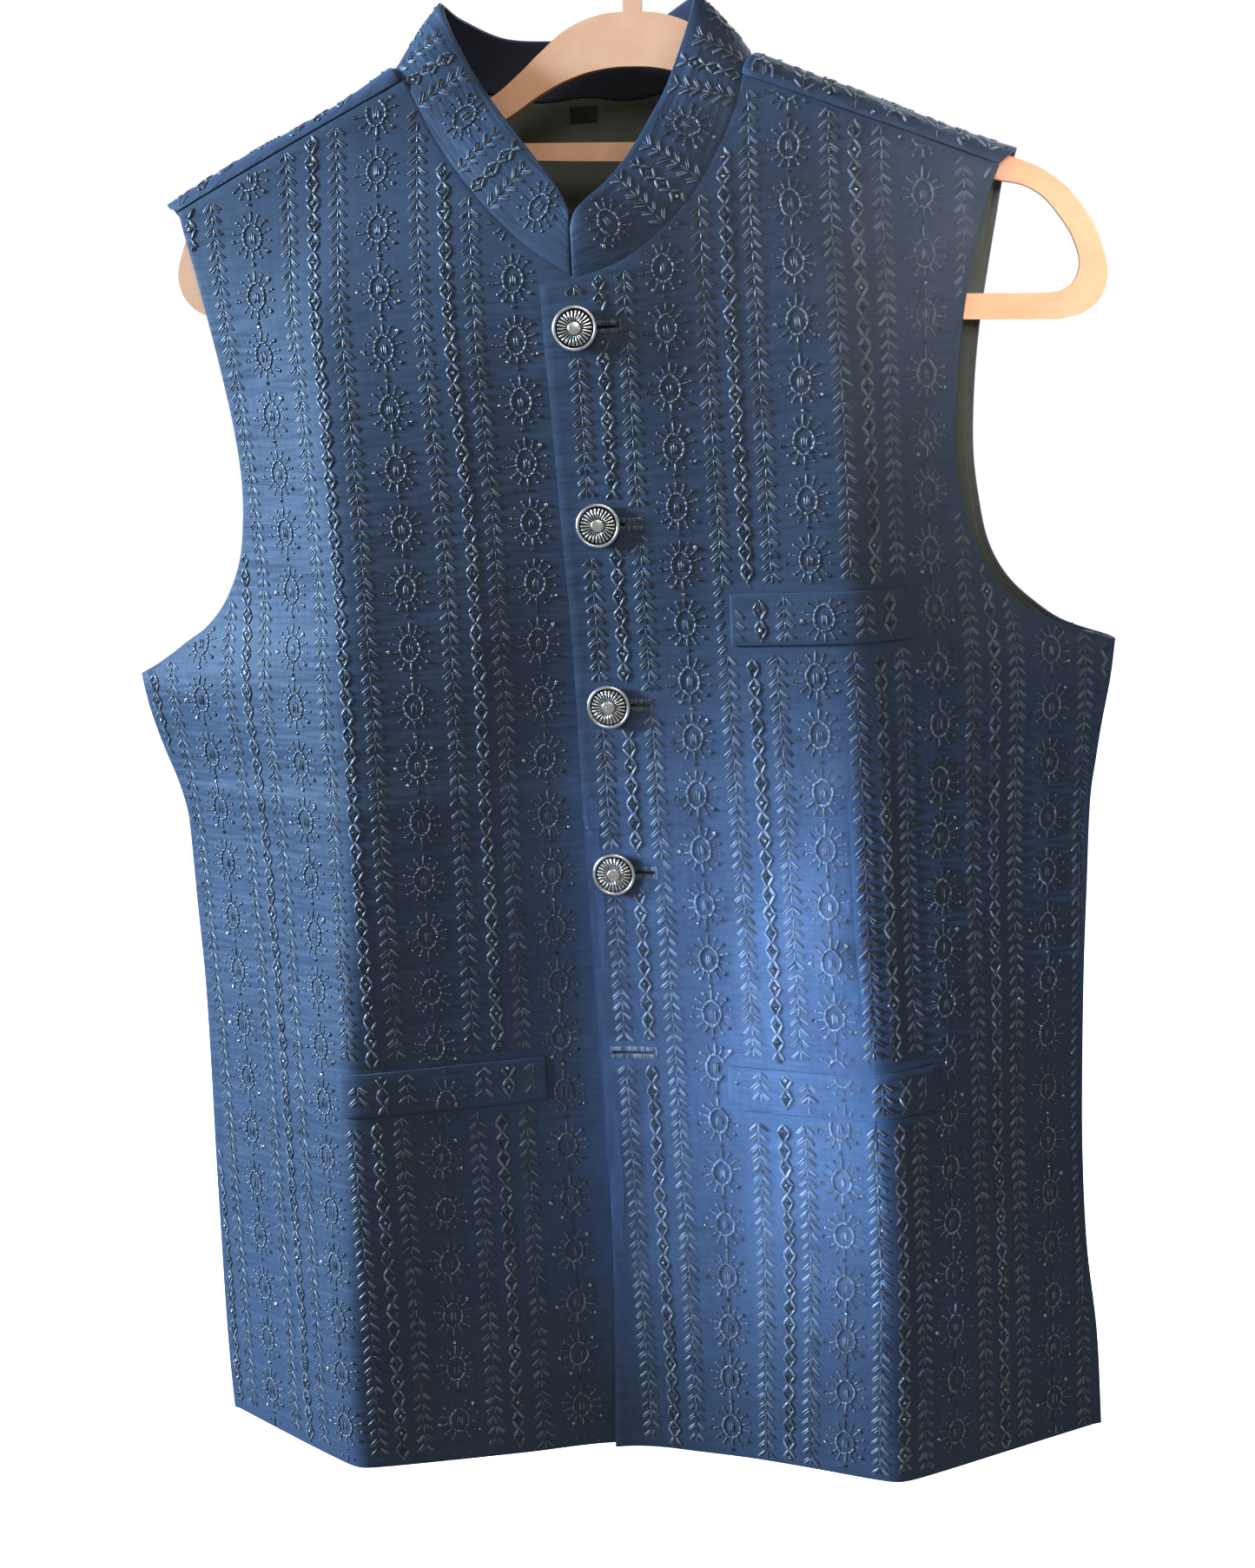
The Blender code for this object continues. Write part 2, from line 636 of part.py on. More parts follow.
def size_tab_grid():
    """Rows of points over the size tab, on the back below the collar."""
    left, right, top, bottom = TAB_AT
    edge = SHOULDER_END[-1].left
    depth = underarm_depth(LEFT) + BACK_ROWS[0].set_back
    grid = []
    for down in (top, bottom):
        places = (left, (left + right) / 2, right)
        grid.append([point(x, down, back_depth(x, down, edge, depth)) for x in places])
    return grid


def outline_spline(shape, half, straight):
    """A closed outline from one half, mirrored; sharp where it is nearer the middle."""
    other = [(-x, z) for x, z in reversed(half) if x > 0.0]
    places = list(half) + other
    spline = shape.splines.new('BEZIER')
    spline.bezier_points.add(len(places) - 1)
    for knot, (x, z) in zip(spline.bezier_points, places):
        knot.co = (x * MM, z * MM, 0.0)
        sharp = abs(x) < straight
        knot.handle_left_type = knot.handle_right_type = 'VECTOR' if sharp else 'AUTO'
    spline.use_cyclic_u = True


def hanger(surface, collection):
    """The moulded hanger: arms, crown with its nub, tie bar and bottom bar."""
    shape = bpy.data.curves.new("hanger", 'CURVE')
    shape.dimensions = '2D'
    shape.fill_mode = 'BOTH'
    shape.resolution_u = 2
    nub = [(NUB_WIDE, NUB_TALL), (NUB_WIDE, -0.1)]
    outline_spline(shape, nub + list(CROWN_LINE), NUB_WIDE + 1.0)
    outline_spline(shape, list(NECK_HOLE), 1.0)
    outline_spline(shape, list(ARM_HOLE), 1.0)
    shape.extrude = HANGER_THICK / 2 * MM
    flat = bpy.data.objects.new("hanger_outline", shape)
    collection.objects.link(flat)
    flat.location = (0.0, 0.0, -CROWN_DROP * MM)
    flat.rotation_euler = (math.radians(90.0), 0.0, 0.0)
    bpy.context.view_layer.update()
    evaluated = flat.evaluated_get(bpy.context.evaluated_depsgraph_get())
    mesh = bpy.data.meshes.new_from_object(evaluated)
    mesh.name = "hanger"
    form = bmesh.new()
    form.from_mesh(mesh)
    bmesh.ops.remove_doubles(form, verts=form.verts, dist=0.00001)
    bmesh.ops.recalc_face_normals(form, faces=form.faces)
    form.to_mesh(mesh)
    form.free()
    made = bpy.data.objects.new("hanger", mesh)
    collection.objects.link(made)
    made.matrix_world = flat.matrix_world
    bpy.data.objects.remove(flat, do_unlink=True)
    mesh.materials.append(surface)
    rounded = made.modifiers.new("rounded", 'BEVEL')
    rounded.width = HANGER_EDGE * MM
    rounded.segments = 1
    rounded.limit_method = 'ANGLE'
    rounded.angle_limit = math.radians(60.0)
    return made


def hook(surface, collection):
    """The wire hook: a stem out of the nub, a bend and an open arc."""
    radius = HOOK_INSIDE + HOOK_WIRE
    centre = -HOOK_INSIDE

    def arc(angle):
        turn = math.radians(angle)
        return Vector((radius * math.cos(turn), 0.0, centre + radius * math.sin(turn)))

    foot = Vector((0.0, 0.0, -CROWN_DROP + NUB_TALL + GAP))
    bend = foot + Vector((0.0, 0.0, HOOK_STEM))
    start = arc(HOOK_FROM)
    heading = math.radians(HOOK_FROM + 90.0)
    ahead = Vector((math.cos(heading), 0.0, math.sin(heading)))
    reach = (start - bend).length * 0.5
    places = [foot, mix(foot, bend, 0.5)]
    for step in range(7):
        t = step / 7
        near = mix(bend, bend + Vector((0.0, 0.0, reach)), t)
        middle = mix(bend + Vector((0.0, 0.0, reach)), start - ahead * reach, t)
        far = mix(start - ahead * reach, start, t)
        places.append(mix(mix(near, middle, t), mix(middle, far, t), t))
    for step in range(HOOK_POINTS + 1):
        places.append(arc(mix(HOOK_FROM, HOOK_TO, step / HOOK_POINTS)))
    wire = bpy.data.curves.new("hanger_hook", 'CURVE')
    wire.dimensions = '3D'
    wire.bevel_depth = HOOK_WIRE * MM
    wire.bevel_resolution = 2
    wire.use_fill_caps = True
    spline = wire.splines.new('POLY')
    spline.points.add(len(places) - 1)
    for knot, place in zip(spline.points, places):
        knot.co = (*(place * MM), 1.0)
    made = bpy.data.objects.new("hanger_hook", wire)
    collection.objects.link(made)
    wire.materials.append(surface)
    return made


def main():
    clear_scene()
    parts = bpy.data.collections.new("indian_waistcoat")
    cutters = bpy.data.collections.new("cutters")
    for group in (parts, cutters):
        bpy.context.scene.collection.children.link(group)

    cloth = material("navy_cloth", NAVY, 0.55)
    plain = material("plain_navy", DARK_NAVY, 0.7)
    olive = material("olive_lining", OLIVE, 0.5)
    black = material("black_tab", BLACK, 0.7)
    silver = material("antique_silver", SILVER, 0.35, 0.9)
    peach = material("peach_plastic", PEACH, 0.45)
    steel = material("bright_wire", STEEL, 0.25, 1.0)

    garment = bpy.data.objects.new("waistcoat", None)
    parts.objects.link(garment)
    garment.location = NECK_AT * MM
    garment.rotation_euler = (0.0, -LEAN, 0.0)

    left_front = sheet("front_left", front_grid(LEFT), CLOTH, cloth, parts, garment)
    right_rows = [row[::-1] for row in front_grid(RIGHT)]
    sheet("front_right", right_rows, CLOTH, cloth, parts, garment)
    slots = left_front.modifiers.new("buttonholes", 'BOOLEAN')
    slots.object = buttonhole_cutter(cutters, garment)
    slots.operation = 'DIFFERENCE'
    slots.solver = 'EXACT'

    sheet("back", back_grid(), CLOTH, cloth, parts, garment)
    lining = trimmed(back_grid(), LINING_INSET, LINING_RISE)
    lining_off = CLOTH / 2 + LINING_GAP + LINING / 2
    sheet("lining_back", lining, LINING, olive, parts, garment, -lining_off)

    band = collar_grid()
    sheet("collar_outer", band, BAND, cloth, parts, garment)
    inside_off = BAND / 2 + 2 * GAP + BAND_INSIDE / 2
    sheet("collar_inner", band, BAND_INSIDE, plain, parts, garment, -inside_off)

    welt_off = CLOTH / 2 + GAP + WELT / 2
    for welt in WELTS:
        sheet(welt.name, welt_grid(welt), WELT, cloth, parts, garment, welt_off)
    for spec in BUTTONS:
        button(spec, silver, parts, garment)

    tab_off = CLOTH / 2 + LINING_GAP + LINING + 2 * GAP + TAB / 2
    sheet("size_tab", size_tab_grid(), TAB, black, parts, garment, tab_off)

    hanger(peach, parts)
    hook(steel, parts)


main()
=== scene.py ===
"""Looks of an embroidered indian waistcoat, hung buttoned on a moulded hanger.

Frame: the origin is the inside top of the hanger's hook, +Z is up, the fronts
face -Y and the wearer's left is at +X. Left and right are the wearer's.

The cloth is worked out in its own frame, in millimetres: across from the
centre front (left side positive), depth (front negative) and up from the neck.
Each panel of cloth is a fine sheet on the curve through the same sections as
the solid that it stands for. The embroidery lies in columns on those sheets:
ferns, chains of eyes with a bead, and flowers.
"""

import logging
import math
from dataclasses import dataclass, field
from enum import Enum, IntEnum
from typing import Any, NamedTuple, Sequence

import bmesh
import bpy
import numpy as np
from mathutils import Matrix, Vector

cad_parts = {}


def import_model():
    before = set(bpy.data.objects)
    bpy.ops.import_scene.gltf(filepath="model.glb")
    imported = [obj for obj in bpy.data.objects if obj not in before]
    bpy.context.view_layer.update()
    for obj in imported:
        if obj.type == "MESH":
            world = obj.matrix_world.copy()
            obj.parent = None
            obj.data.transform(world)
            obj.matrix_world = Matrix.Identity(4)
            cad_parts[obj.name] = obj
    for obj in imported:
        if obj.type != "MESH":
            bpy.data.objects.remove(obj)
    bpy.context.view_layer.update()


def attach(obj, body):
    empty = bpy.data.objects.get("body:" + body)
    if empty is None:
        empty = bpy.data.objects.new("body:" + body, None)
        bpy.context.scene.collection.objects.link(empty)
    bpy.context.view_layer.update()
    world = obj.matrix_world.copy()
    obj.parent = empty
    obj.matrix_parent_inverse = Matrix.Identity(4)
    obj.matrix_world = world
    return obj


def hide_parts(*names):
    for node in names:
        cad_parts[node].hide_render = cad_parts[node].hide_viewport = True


log = logging.getLogger("waistcoat")

Array = np.ndarray
Colour = tuple[float, float, float]

MM = 0.001
GAP = 0.3                 # clearance between pieces that are sewn or touch


class Side(IntEnum):
    """The wearer's side, as the sign of across."""

    LEFT = 1
    RIGHT = -1

    @property
    def word(self) -> str:
        """The word that a table's columns use for the side."""
        return self.name.lower()


LEFT, RIGHT = Side.LEFT, Side.RIGHT

# Hang of the garment
NECK_AT = (-28.1, 0.0, -86.0)
LEAN = math.radians(3.3)

# Walls
CLOTH = 2.0               # embroidered cloth with its interlining
BAND = 1.5                # collar's outer side
BAND_INSIDE = 1.2         # collar's inner side
LINING = 1.0
WELT = 1.5
TAB = 0.6

# Fronts
LAP = 1.8                 # each front stands off the other's middle by this
LAP_FROM, LAP_TO = 20.0, 60.0
PLACKET = 22.0            # half width that the buttoned middle flattens
FOLD_ROUND = 5.0          # softening of the pressed fold
CROSS_FOLD = 340.0        # level of the fold across the fronts
CROSS_RISE, CROSS_WIDE = 1.3, 9.0
SEAM_EASE = 0.9           # each side of a side seam, from the seam line
INNER_STEPS = (0.0, 0.16, 0.32, 0.48, 0.63, 0.76, 0.86, 0.94, 1.0)
OUTER_STEPS = (0.07, 0.17, 0.32, 0.52, 0.75, 1.0)

class Section(NamedTuple):
    """Where a section's inner and outer edges are on either front."""

    place: str
    left: float
    left_down: float
    left_out: float
    left_out_down: float
    right: float
    right_down: float
    right_out: float
    right_out_down: float


# One row for each section of the fronts, shoulder to hem: where its inner
# edge and its outer edge are, across and down, on either front.
SECTIONS = (
    Section("shoulder seam", 79.7, 14.8, 193.6, 61.7, 77.0, 6.0, 190.0, 58.2),
    Section("neck", 76.5, 28.0, 188.0, 75.0, 70.5, 20.0, 187.0, 73.0),
    Section("neck", 69.4, 44.4, 182.0, 94.0, 63.7, 33.2, 183.0, 91.0),
    Section("neck", 57.3, 65.2, 177.5, 116.0, 54.5, 47.5, 178.3, 115.0),
    Section("neck", 41.1, 81.7, 174.0, 138.0, 44.6, 60.6, 174.3, 138.0),
    Section("neck", 23.0, 94.5, 171.4, 162.0, 33.0, 73.8, 170.6, 162.0),
    Section("left collar end", 0.5, 101.4, 170.1, 186.0, 19.0, 87.0, 168.7, 186.0),
    Section("right collar end", -14.8, 103.0, 171.6, 206.0, 0.6, 99.8, 170.0, 206.0),
    Section("first button", -14.5, 120.0, 176.0, 224.5, -12.0, 103.0, 174.0, 224.5),
    Section("armhole", -13.8, 140.0, 184.0, 243.0, -18.0, 122.0, 183.0, 242.0),
    Section("armhole", -13.0, 160.0, 195.0, 258.0, -18.0, 145.0, 195.0, 255.5),
    Section("armhole", -12.4, 180.0, 208.5, 267.5, -18.0, 168.0, 207.5, 263.5),
    Section("armhole", -11.8, 200.0, 225.0, 274.8, -18.0, 193.0, 220.0, 271.5),
    Section("underarm", -11.0, 222.0, 243.6, 281.5, -18.0, 220.0, 235.4, 279.2),
    Section("chest", -10.0, 248.0, 240.8, 300.0, -18.0, 248.0, 231.5, 300.0),
    Section("chest", -9.6, 278.0, 236.8, 320.0, -18.0, 278.0, 226.2, 320.0),
    Section("above fold", -9.5, 320.0, 233.2, 340.0, -18.0, 320.0, 219.6, 338.0),
    Section("cross fold", -9.5, 340.0, 231.2, 352.0, -18.0, 340.0, 217.2, 350.0),
    Section("below fold", -9.5, 360.0, 229.8, 368.0, -18.0, 360.0, 216.8, 366.0),
    Section("waist", -9.2, 395.0, 228.2, 400.0, -18.0, 395.0, 216.5, 398.0),
    Section("waist", -8.8, 435.0, 226.2, 438.0, -18.0, 435.0, 215.6, 437.0),
    Section("pocket", -8.3, 480.0, 224.6, 482.0, -18.0, 480.0, 216.4, 481.0),
    Section("hip", -8.0, 530.0, 223.6, 532.0, -18.0, 530.0, 217.9, 530.0),
    Section("hip", -8.8, 580.0, 224.8, 582.0, -18.0, 580.0, 218.8, 578.0),
    Section("hip", -10.6, 628.0, 229.2, 630.0, -18.0, 628.0, 219.6, 625.0),
    Section("hem", -13.2, 676.6, 230.6, 679.0, -18.0, 677.0, 219.4, 670.5),
)
UNDERARM_ROW = 13
LEFT_COLLAR_ROW, RIGHT_COLLAR_ROW = 6, 7

class Fold(NamedTuple):
    """How the fronts stand forward at one level."""

    down: float
    centre: float
    left_at: float
    right_at: float
    crest: float
    left_flank: float
    right_flank: float


# How the fronts stand forward, level by level: depth at the centre, the place
# of the pressed fold on either front, its depth, and the slope outside it.
FRONT_FORM = (
    Fold(10.0, -16.0, 124.0, 126.0, -15.5, 0.01, 0.01),
    Fold(35.0, -25.0, 124.0, 126.0, -20.0, 0.07, 0.07),
    Fold(60.0, -38.0, 122.0, 126.0, -26.0, 0.14, 0.14),
    Fold(80.0, -42.5, 120.0, 125.0, -31.0, 0.20, 0.21),
    Fold(100.0, -46.0, 120.0, 124.0, -37.0, 0.28, 0.30),
    Fold(165.0, -48.5, 122.0, 118.7, -51.0, 0.56, 0.54),
    Fold(245.0, -50.0, 122.0, 113.0, -62.0, 0.63, 0.60),
    Fold(281.0, -50.0, 119.0, 112.5, -66.5, 0.49, 0.50),
    Fold(340.0, -50.0, 114.5, 113.5, -71.0, 0.53, 0.60),
    Fold(415.0, -50.0, 114.5, 118.5, -76.5, 0.58, 0.67),
    Fold(495.0, -50.0, 120.5, 124.0, -82.0, 0.64, 0.72),
    Fold(640.0, -50.0, 121.0, 132.5, -88.0, 0.63, 0.75),
    Fold(690.0, -50.0, 123.5, 132.5, -89.0, 0.63, 0.76),
)

# Back
ROLL = 1.17               # height of the rounding behind the shoulder, by its depth
ROLL_ROWS = 8
BACK_CURVE = 2.3          # how full the back is between its side seams
NECK_SHARE = 0.48         # share of the back's half width under the neck
WING_STEPS = 5
NECK_COLUMN = 95.0        # where the column from the neck corner passes behind

class Ridge(NamedTuple):
    """A place on the top line of the shoulders."""

    across: float
    left_down: float
    right_down: float


# The top line of the shoulders, from the neck's middle to the shoulder's end
RIDGE = (
    Ridge(0.0, -31.0, -31.0),
    Ridge(40.0, -15.0, -18.0),
    Ridge(81.8, 2.8, -2.8),
    Ridge(107.0, 14.3, 11.8),
    Ridge(130.0, 23.9, 22.4),
    Ridge(155.0, 35.3, 32.8),
    Ridge(178.0, 45.4, 43.8),
    Ridge(203.0, 54.8, 56.2),
)

class Tip(NamedTuple):
    """Outer edge of the back at one angle round the ridge."""

    roll: float
    left: float
    right: float


# Outer edge of the back over the shoulder, by the angle round the ridge
SHOULDER_END = (
    Tip(-90.0, 193.6, 190.0),
    Tip(-45.0, 199.5, 196.5),
    Tip(0.0, 202.5, 199.2),
    Tip(45.0, 201.5, 198.5),
    Tip(90.0, 197.0, 195.0),
)

class NeckStep(NamedTuple):
    """A place on the back neckline."""

    share: float
    across: float
    roll: float


# Back neckline, from the centre back to the forward seam
BACK_NECK = (
    NeckStep(0.0, 0.0, 86.0),
    NeckStep(0.22, 22.0, 79.0),
    NeckStep(0.44, 45.0, 63.0),
    NeckStep(0.62, 66.0, 42.0),
    NeckStep(0.78, 78.5, 17.0),
    NeckStep(0.88, 81.8, 0.0),
    NeckStep(1.0, 79.7, -90.0),
)

class BackRow(NamedTuple):
    """A section of the back between the shoulder blades and the underarm."""

    down: float
    edge_down: float
    left: float
    right: float
    set_back: float


# Sections of the back from the shoulder blades to the underarm: level at the
# centre and at the armhole, the armhole's place, and how far its edge stands
# behind the underarm point.
BACK_ROWS = (
    BackRow(57.0, 84.0, 193.0, 191.0, 14.0),
    BackRow(84.0, 106.0, 188.8, 187.0, 14.0),
    BackRow(110.0, 130.0, 184.6, 183.0, 14.0),
    BackRow(137.0, 160.0, 181.2, 179.5, 14.0),
    BackRow(163.0, 190.0, 180.0, 178.5, 14.0),
    BackRow(186.0, 213.0, 182.0, 180.5, 13.4),
    BackRow(207.0, 234.0, 186.0, 185.5, 11.6),
    BackRow(225.0, 250.0, 194.0, 194.5, 8.6),
    BackRow(241.0, 262.5, 206.0, 206.0, 4.8),
    BackRow(258.0, 273.0, 220.5, 219.0, 1.8),
)
BACK_SIDE_ROWS = (13, 14, 15, 17, 19, 20, 21, 22, 23, 24, 25)

class BackForm(NamedTuple):
    """Depth of the back's middle at one level."""

    down: float
    centre: float


BACK_FORM = (
    BackForm(-40.0, 41.0),
    BackForm(100.0, 42.0),
    BackForm(240.0, 43.0),
    BackForm(400.0, 39.0),
    BackForm(690.0, 34.0),
)
LINING_GAP = 0.6          # between the lining and the back
LINING_INSET = 3.0        # the lining's edges inside the back's
LINING_RISE = 9.0         # the lining's hem above the back's

# Stand collar
COLLAR_LIFT = 1.5         # its lower edge above the neck seam line
COLLAR_ROWS = 3
COLLAR_STATIONS = 46
COLLAR_CROWN = 1.2        # how much the band swells outward between its edges

class CollarTop(NamedTuple):
    """A place on the collar's upper edge, by its share of the seam."""

    share: float
    across: float
    down: float
    depth: float


# Upper edge of the collar from its left end round the back to its right end,
# by the share of the neck seam below it
COLLAR_TOP = (
    CollarTop(0.000, 0.6, 79.0, -46.5),
    CollarTop(0.012, 2.2, 73.0, -46.3),
    CollarTop(0.045, 7.0, 67.3, -45.0),
    CollarTop(0.094, 19.2, 57.0, -39.0),
    CollarTop(0.143, 30.0, 43.0, -32.0),
    CollarTop(0.195, 38.3, 29.4, -24.0),
    CollarTop(0.245, 47.0, 12.5, -18.0),
    CollarTop(0.300, 58.5, -21.5, -3.0),
    CollarTop(0.355, 53.5, -24.0, 15.0),
    CollarTop(0.405, 37.0, -18.0, 30.5),
    CollarTop(0.455, 18.0, -14.5, 36.5),
    CollarTop(0.500, 0.0, -13.5, 37.5),
    CollarTop(0.545, -18.0, -13.5, 36.5),
    CollarTop(0.590, -37.0, -15.5, 30.5),
    CollarTop(0.640, -53.5, -23.0, 15.0),
    CollarTop(0.700, -60.0, -27.5, -2.0),
    CollarTop(0.760, -48.0, -1.5, -13.0),
    CollarTop(0.815, -37.0, 17.0, -19.0),
    CollarTop(0.880, -20.5, 39.5, -30.0),
    CollarTop(0.940, -5.5, 60.0, -39.0),
    CollarTop(1.000, 0.0, 71.5, -42.5),
)

class Welt(NamedTuple):
    """A pocket welt's side and edges on its front."""

    name: str
    side: int
    inner: float
    outer: float
    top: float
    bottom: float
    outer_drop: float


# Pocket welts: place across, and down to the upper and lower edge; the outer
# end stands this much lower than the inner one
WELTS = (
    Welt("chest_welt", LEFT, 65.4, 147.0, 247.0, 270.5, 0.8),
    Welt("pocket_welt_left", LEFT, 54.5, 151.5, 472.4, 493.6, 1.6),
    Welt("pocket_welt_right", RIGHT, 36.0, 132.8, 468.2, 489.8, 0.4),
)
WELT_EDGE = 3.0           # least width of a facet at a welt's ends

class Button(NamedTuple):
    """A button's place on the left front."""

    name: str
    across: float
    down: float


BUTTONS = (
    Button("button_1", 0.6, 123.4),
    Button("button_2", 6.2, 212.7),
    Button("button_3", 6.4, 297.1),
    Button("button_4", 4.2, 377.6),
)
BUTTON_OFF = 1.1          # the button's back above the cloth's face
SHANK = 0.75
# Half profile of a button, from the middle of its face to its flat back:
# radius and height
BUTTON_PROFILE = (
    (0.0, 4.5), (1.5, 4.3), (2.0, 3.8), (4.8, 3.9), (6.6, 3.0), (7.5, 2.0),
    (8.9, 3.2), (10.0, 2.6), (10.3, 1.6), (9.6, 0.5), (8.6, 0.0),
)
BUTTON_SIDES = 20

SLOT_LONG, SLOT_TALL = 23.0, 2.2
BARE_SLOT = (8.0, 467.5)  # middle of the buttonhole that has no button
SLOT_INSET = 2.6          # from a slot's inner end to the shank

TAB_AT = (-7.6, 5.6, 17.6, 25.6)   # size tab: across from and to, down from and to

# Hanger, measured from the crown's top, which is this far below the origin
CROWN_DROP = 66.0
HANGER_THICK = 6.0
HANGER_EDGE = 1.2         # rounding of its edges
NUB_WIDE, NUB_TALL = 4.2, 5.0
BOTTOM_BAR = (-127.0, -138.8)
TIE_BAR = (-58.0, -66.6)
# Half outlines from the middle to the end: across and up
CROWN_LINE = (
    (15.0, -1.4), (30.0, -7.2), (42.5, -17.2), (54.1, -27.9), (66.5, -37.4),
    (86.0, -44.5), (115.0, -52.0), (150.0, -60.5), (174.2, -65.6),
    (192.5, -73.8), (208.6, -88.9), (218.5, -108.4), (220.4, -121.0),
    (215.0, -132.2), (203.0, -138.0), (189.0, BOTTOM_BAR[1]),
)
NECK_HOLE = (
    (0.0, -24.2), (17.0, -25.8), (31.0, -30.2), (44.0, -37.0), (56.0, -45.0),
    (68.0, -52.0), (76.0, TIE_BAR[0]),
)
ARM_HOLE = (
    (0.0, TIE_BAR[1]), (112.0, TIE_BAR[1]), (140.0, -69.6), (168.3, -76.0),
    (184.5, -80.0), (198.3, -92.8), (206.8, -108.3), (207.6, -116.5),
    (203.0, -124.2), (193.0, BOTTOM_BAR[0]), (0.0, BOTTOM_BAR[0]),
)
HOOK_WIRE = 1.75
HOOK_INSIDE = 20.0
HOOK_STEM = 12.0          # straight wire above the nub
HOOK_FROM, HOOK_TO = -48.0, 198.0   # its arc, in degrees
HOOK_POINTS = 18


# ---------------------------------------------------------------- curves

def curve(steps: Array, values: Array, at: Array, breaks: Sequence[int] = ()) -> Array:
    """Values on the smooth curve through given steps.

    Args:
        steps: rising places of the given values.
        values: one value or point for each step.
        at: places to find values at.
        breaks: indexes where the curve may turn a corner.

    Returns:
        A value or point for each place.
    """
    steps, values = np.asarray(steps, float), np.asarray(values, float)
    wide = (slice(None),) + (None,) * (values.ndim - 1)
    secant = np.diff(values, axis=0) / np.diff(steps)[wide]
    smooth = (values[2:] - values[:-2]) / (steps[2:] - steps[:-2])[wide]
    leave = np.concatenate([secant[:1], smooth, secant[-1:]])
    arrive = leave.copy()
    for corner in breaks:
        arrive[corner], leave[corner] = secant[corner - 1], secant[corner]
    at = np.clip(np.asarray(at, float), steps[0], steps[-1])
    here = np.clip(np.searchsorted(steps, at, side="right") - 1, 0, len(steps) - 2)
    span = (steps[here + 1] - steps[here])
    t = ((at - steps[here]) / span)[(...,) + (None,) * (values.ndim - 1)]
    span = span[(...,) + (None,) * (values.ndim - 1)]
    return ((2 * t ** 3 - 3 * t ** 2 + 1) * values[here] + (t ** 3 - 2 * t ** 2 + t) * span * leave[here]
            + (3 * t ** 2 - 2 * t ** 3) * values[here + 1] + (t ** 3 - t ** 2) * span * arrive[here + 1])


def glide(rows: Sequence[Any], column: str, at: Any) -> Any:
    """Values of a table's column on the smooth curve through its first column."""
    return curve([row[0] for row in rows], [getattr(row, column) for row in rows], at)


def mix(a: Any, b: Any, t: Any) -> Any:
    """The value or point a share t of the way from a to b."""
    return a + (b - a) * t


def ease(t: Any) -> Any:
    """A soft step from 0 to 1."""
    t = np.clip(t, 0.0, 1.0)
    return t * t * (3.0 - 2.0 * t)


def unit(vectors: Array) -> Array:
    """The same directions, one long."""
    return vectors / np.maximum(np.linalg.norm(vectors, axis=-1, keepdims=True), 1e-9)


def point(across: Any, down: Any, depth: Any) -> Array:
    """Places in the garment's frame, as an array whose last axis is 3 long."""
    return np.stack(np.broadcast_arrays(across, depth, -np.asarray(down, float)), axis=-1).astype(float)


def refine(grid: Array, corner: int, down: int, across: int, turns: Sequence[int]) -> Array:
    """A finer grid on the smooth surface through a grid of points.

    Args:
        grid: rows of points.
        corner: the row where the surface may turn a corner; rows above it come
            out evenly apart in each column.
        down: new rows for each old one.
        across: new columns for each old one.
        turns: columns where the surface may turn a corner.

    Returns:
        The finer grid.
    """
    rows, columns = grid.shape[:2]
    run = lengths(grid, 0)
    below = np.linspace(corner, rows - 1, (rows - 1 - corner) * down + 1)[1:]
    tall = []
    for column in range(columns):
        at = np.concatenate([np.linspace(0.0, run[corner, column], corner * down + 1),
                             np.interp(below, np.arange(rows), run[:, column])])
        tall.append(curve(run[:, column], grid[:, column], at, (corner,)))
    fine = np.linspace(0, columns - 1, (columns - 1) * across + 1)
    return np.swapaxes(curve(np.arange(columns), np.array(tall), fine, turns), 0, 1)


def lengths(places: Array, axis: int) -> Array:
    """Distance run from the start of each line of points along an axis."""
    steps = np.linalg.norm(np.diff(places, axis=axis), axis=-1)
    start = np.zeros_like(np.take(steps, [0], axis=axis))
    return np.concatenate([start, np.cumsum(steps, axis=axis)], axis=axis)


def to_world(places: Array) -> Array:
    """Places in the garment's frame as metres in the object's frame."""
    cos, sin = math.cos(LEAN), math.sin(LEAN)
    x, y, z = places[..., 0], places[..., 1], places[..., 2]
    turned = np.stack([x * cos - z * sin, y, x * sin + z * cos], axis=-1)
    return (turned + np.array(NECK_AT)) * MM


# ---------------------------------------------------------------- form of the cloth

def uneven(across: Array, down: Array) -> Array:
    """How far the fronts stand off their smooth form; nothing at their seams."""
    wave = (0.45 * np.sin(0.047 * down + 0.9 * np.sin(0.031 * across))
            + 0.40 * np.sin(0.083 * across + 0.021 * down) * np.sin(0.019 * down)
            + 0.22 * np.sin(0.131 * down - 0.057 * across))
    quiet = ease((down - 80.0) / 80.0) * (1.0 - ease((np.abs(across) - 140.0) / 55.0))
    return wave * quiet


def front_depth(side: Side, across: Array, down: Array) -> Array:
    """Depth of a front's middle surface."""
    centre = glide(FRONT_FORM, "centre", down)
    fold = glide(FRONT_FORM, side.word + "_at", down)
    crest = glide(FRONT_FORM, "crest", down)
    flank = glide(FRONT_FORM, side.word + "_flank", down)
    out = np.abs(across)
    rise = (crest - centre) / fold
    inside = centre + rise * (np.hypot(out, PLACKET) - PLACKET)
    outside = crest + flank * (out - fold)
    turn = FOLD_ROUND * ease((flank - rise) / 0.9)
    depth = (inside + outside) / 2 + np.hypot((inside - outside) / 2, turn / 2)
    lap = LAP * (1.0 - ease((out - LAP_FROM) / (LAP_TO - LAP_FROM)))
    cross = CROSS_RISE * np.exp(-((down - CROSS_FOLD) / CROSS_WIDE) ** 2)
    return depth - side * lap - cross


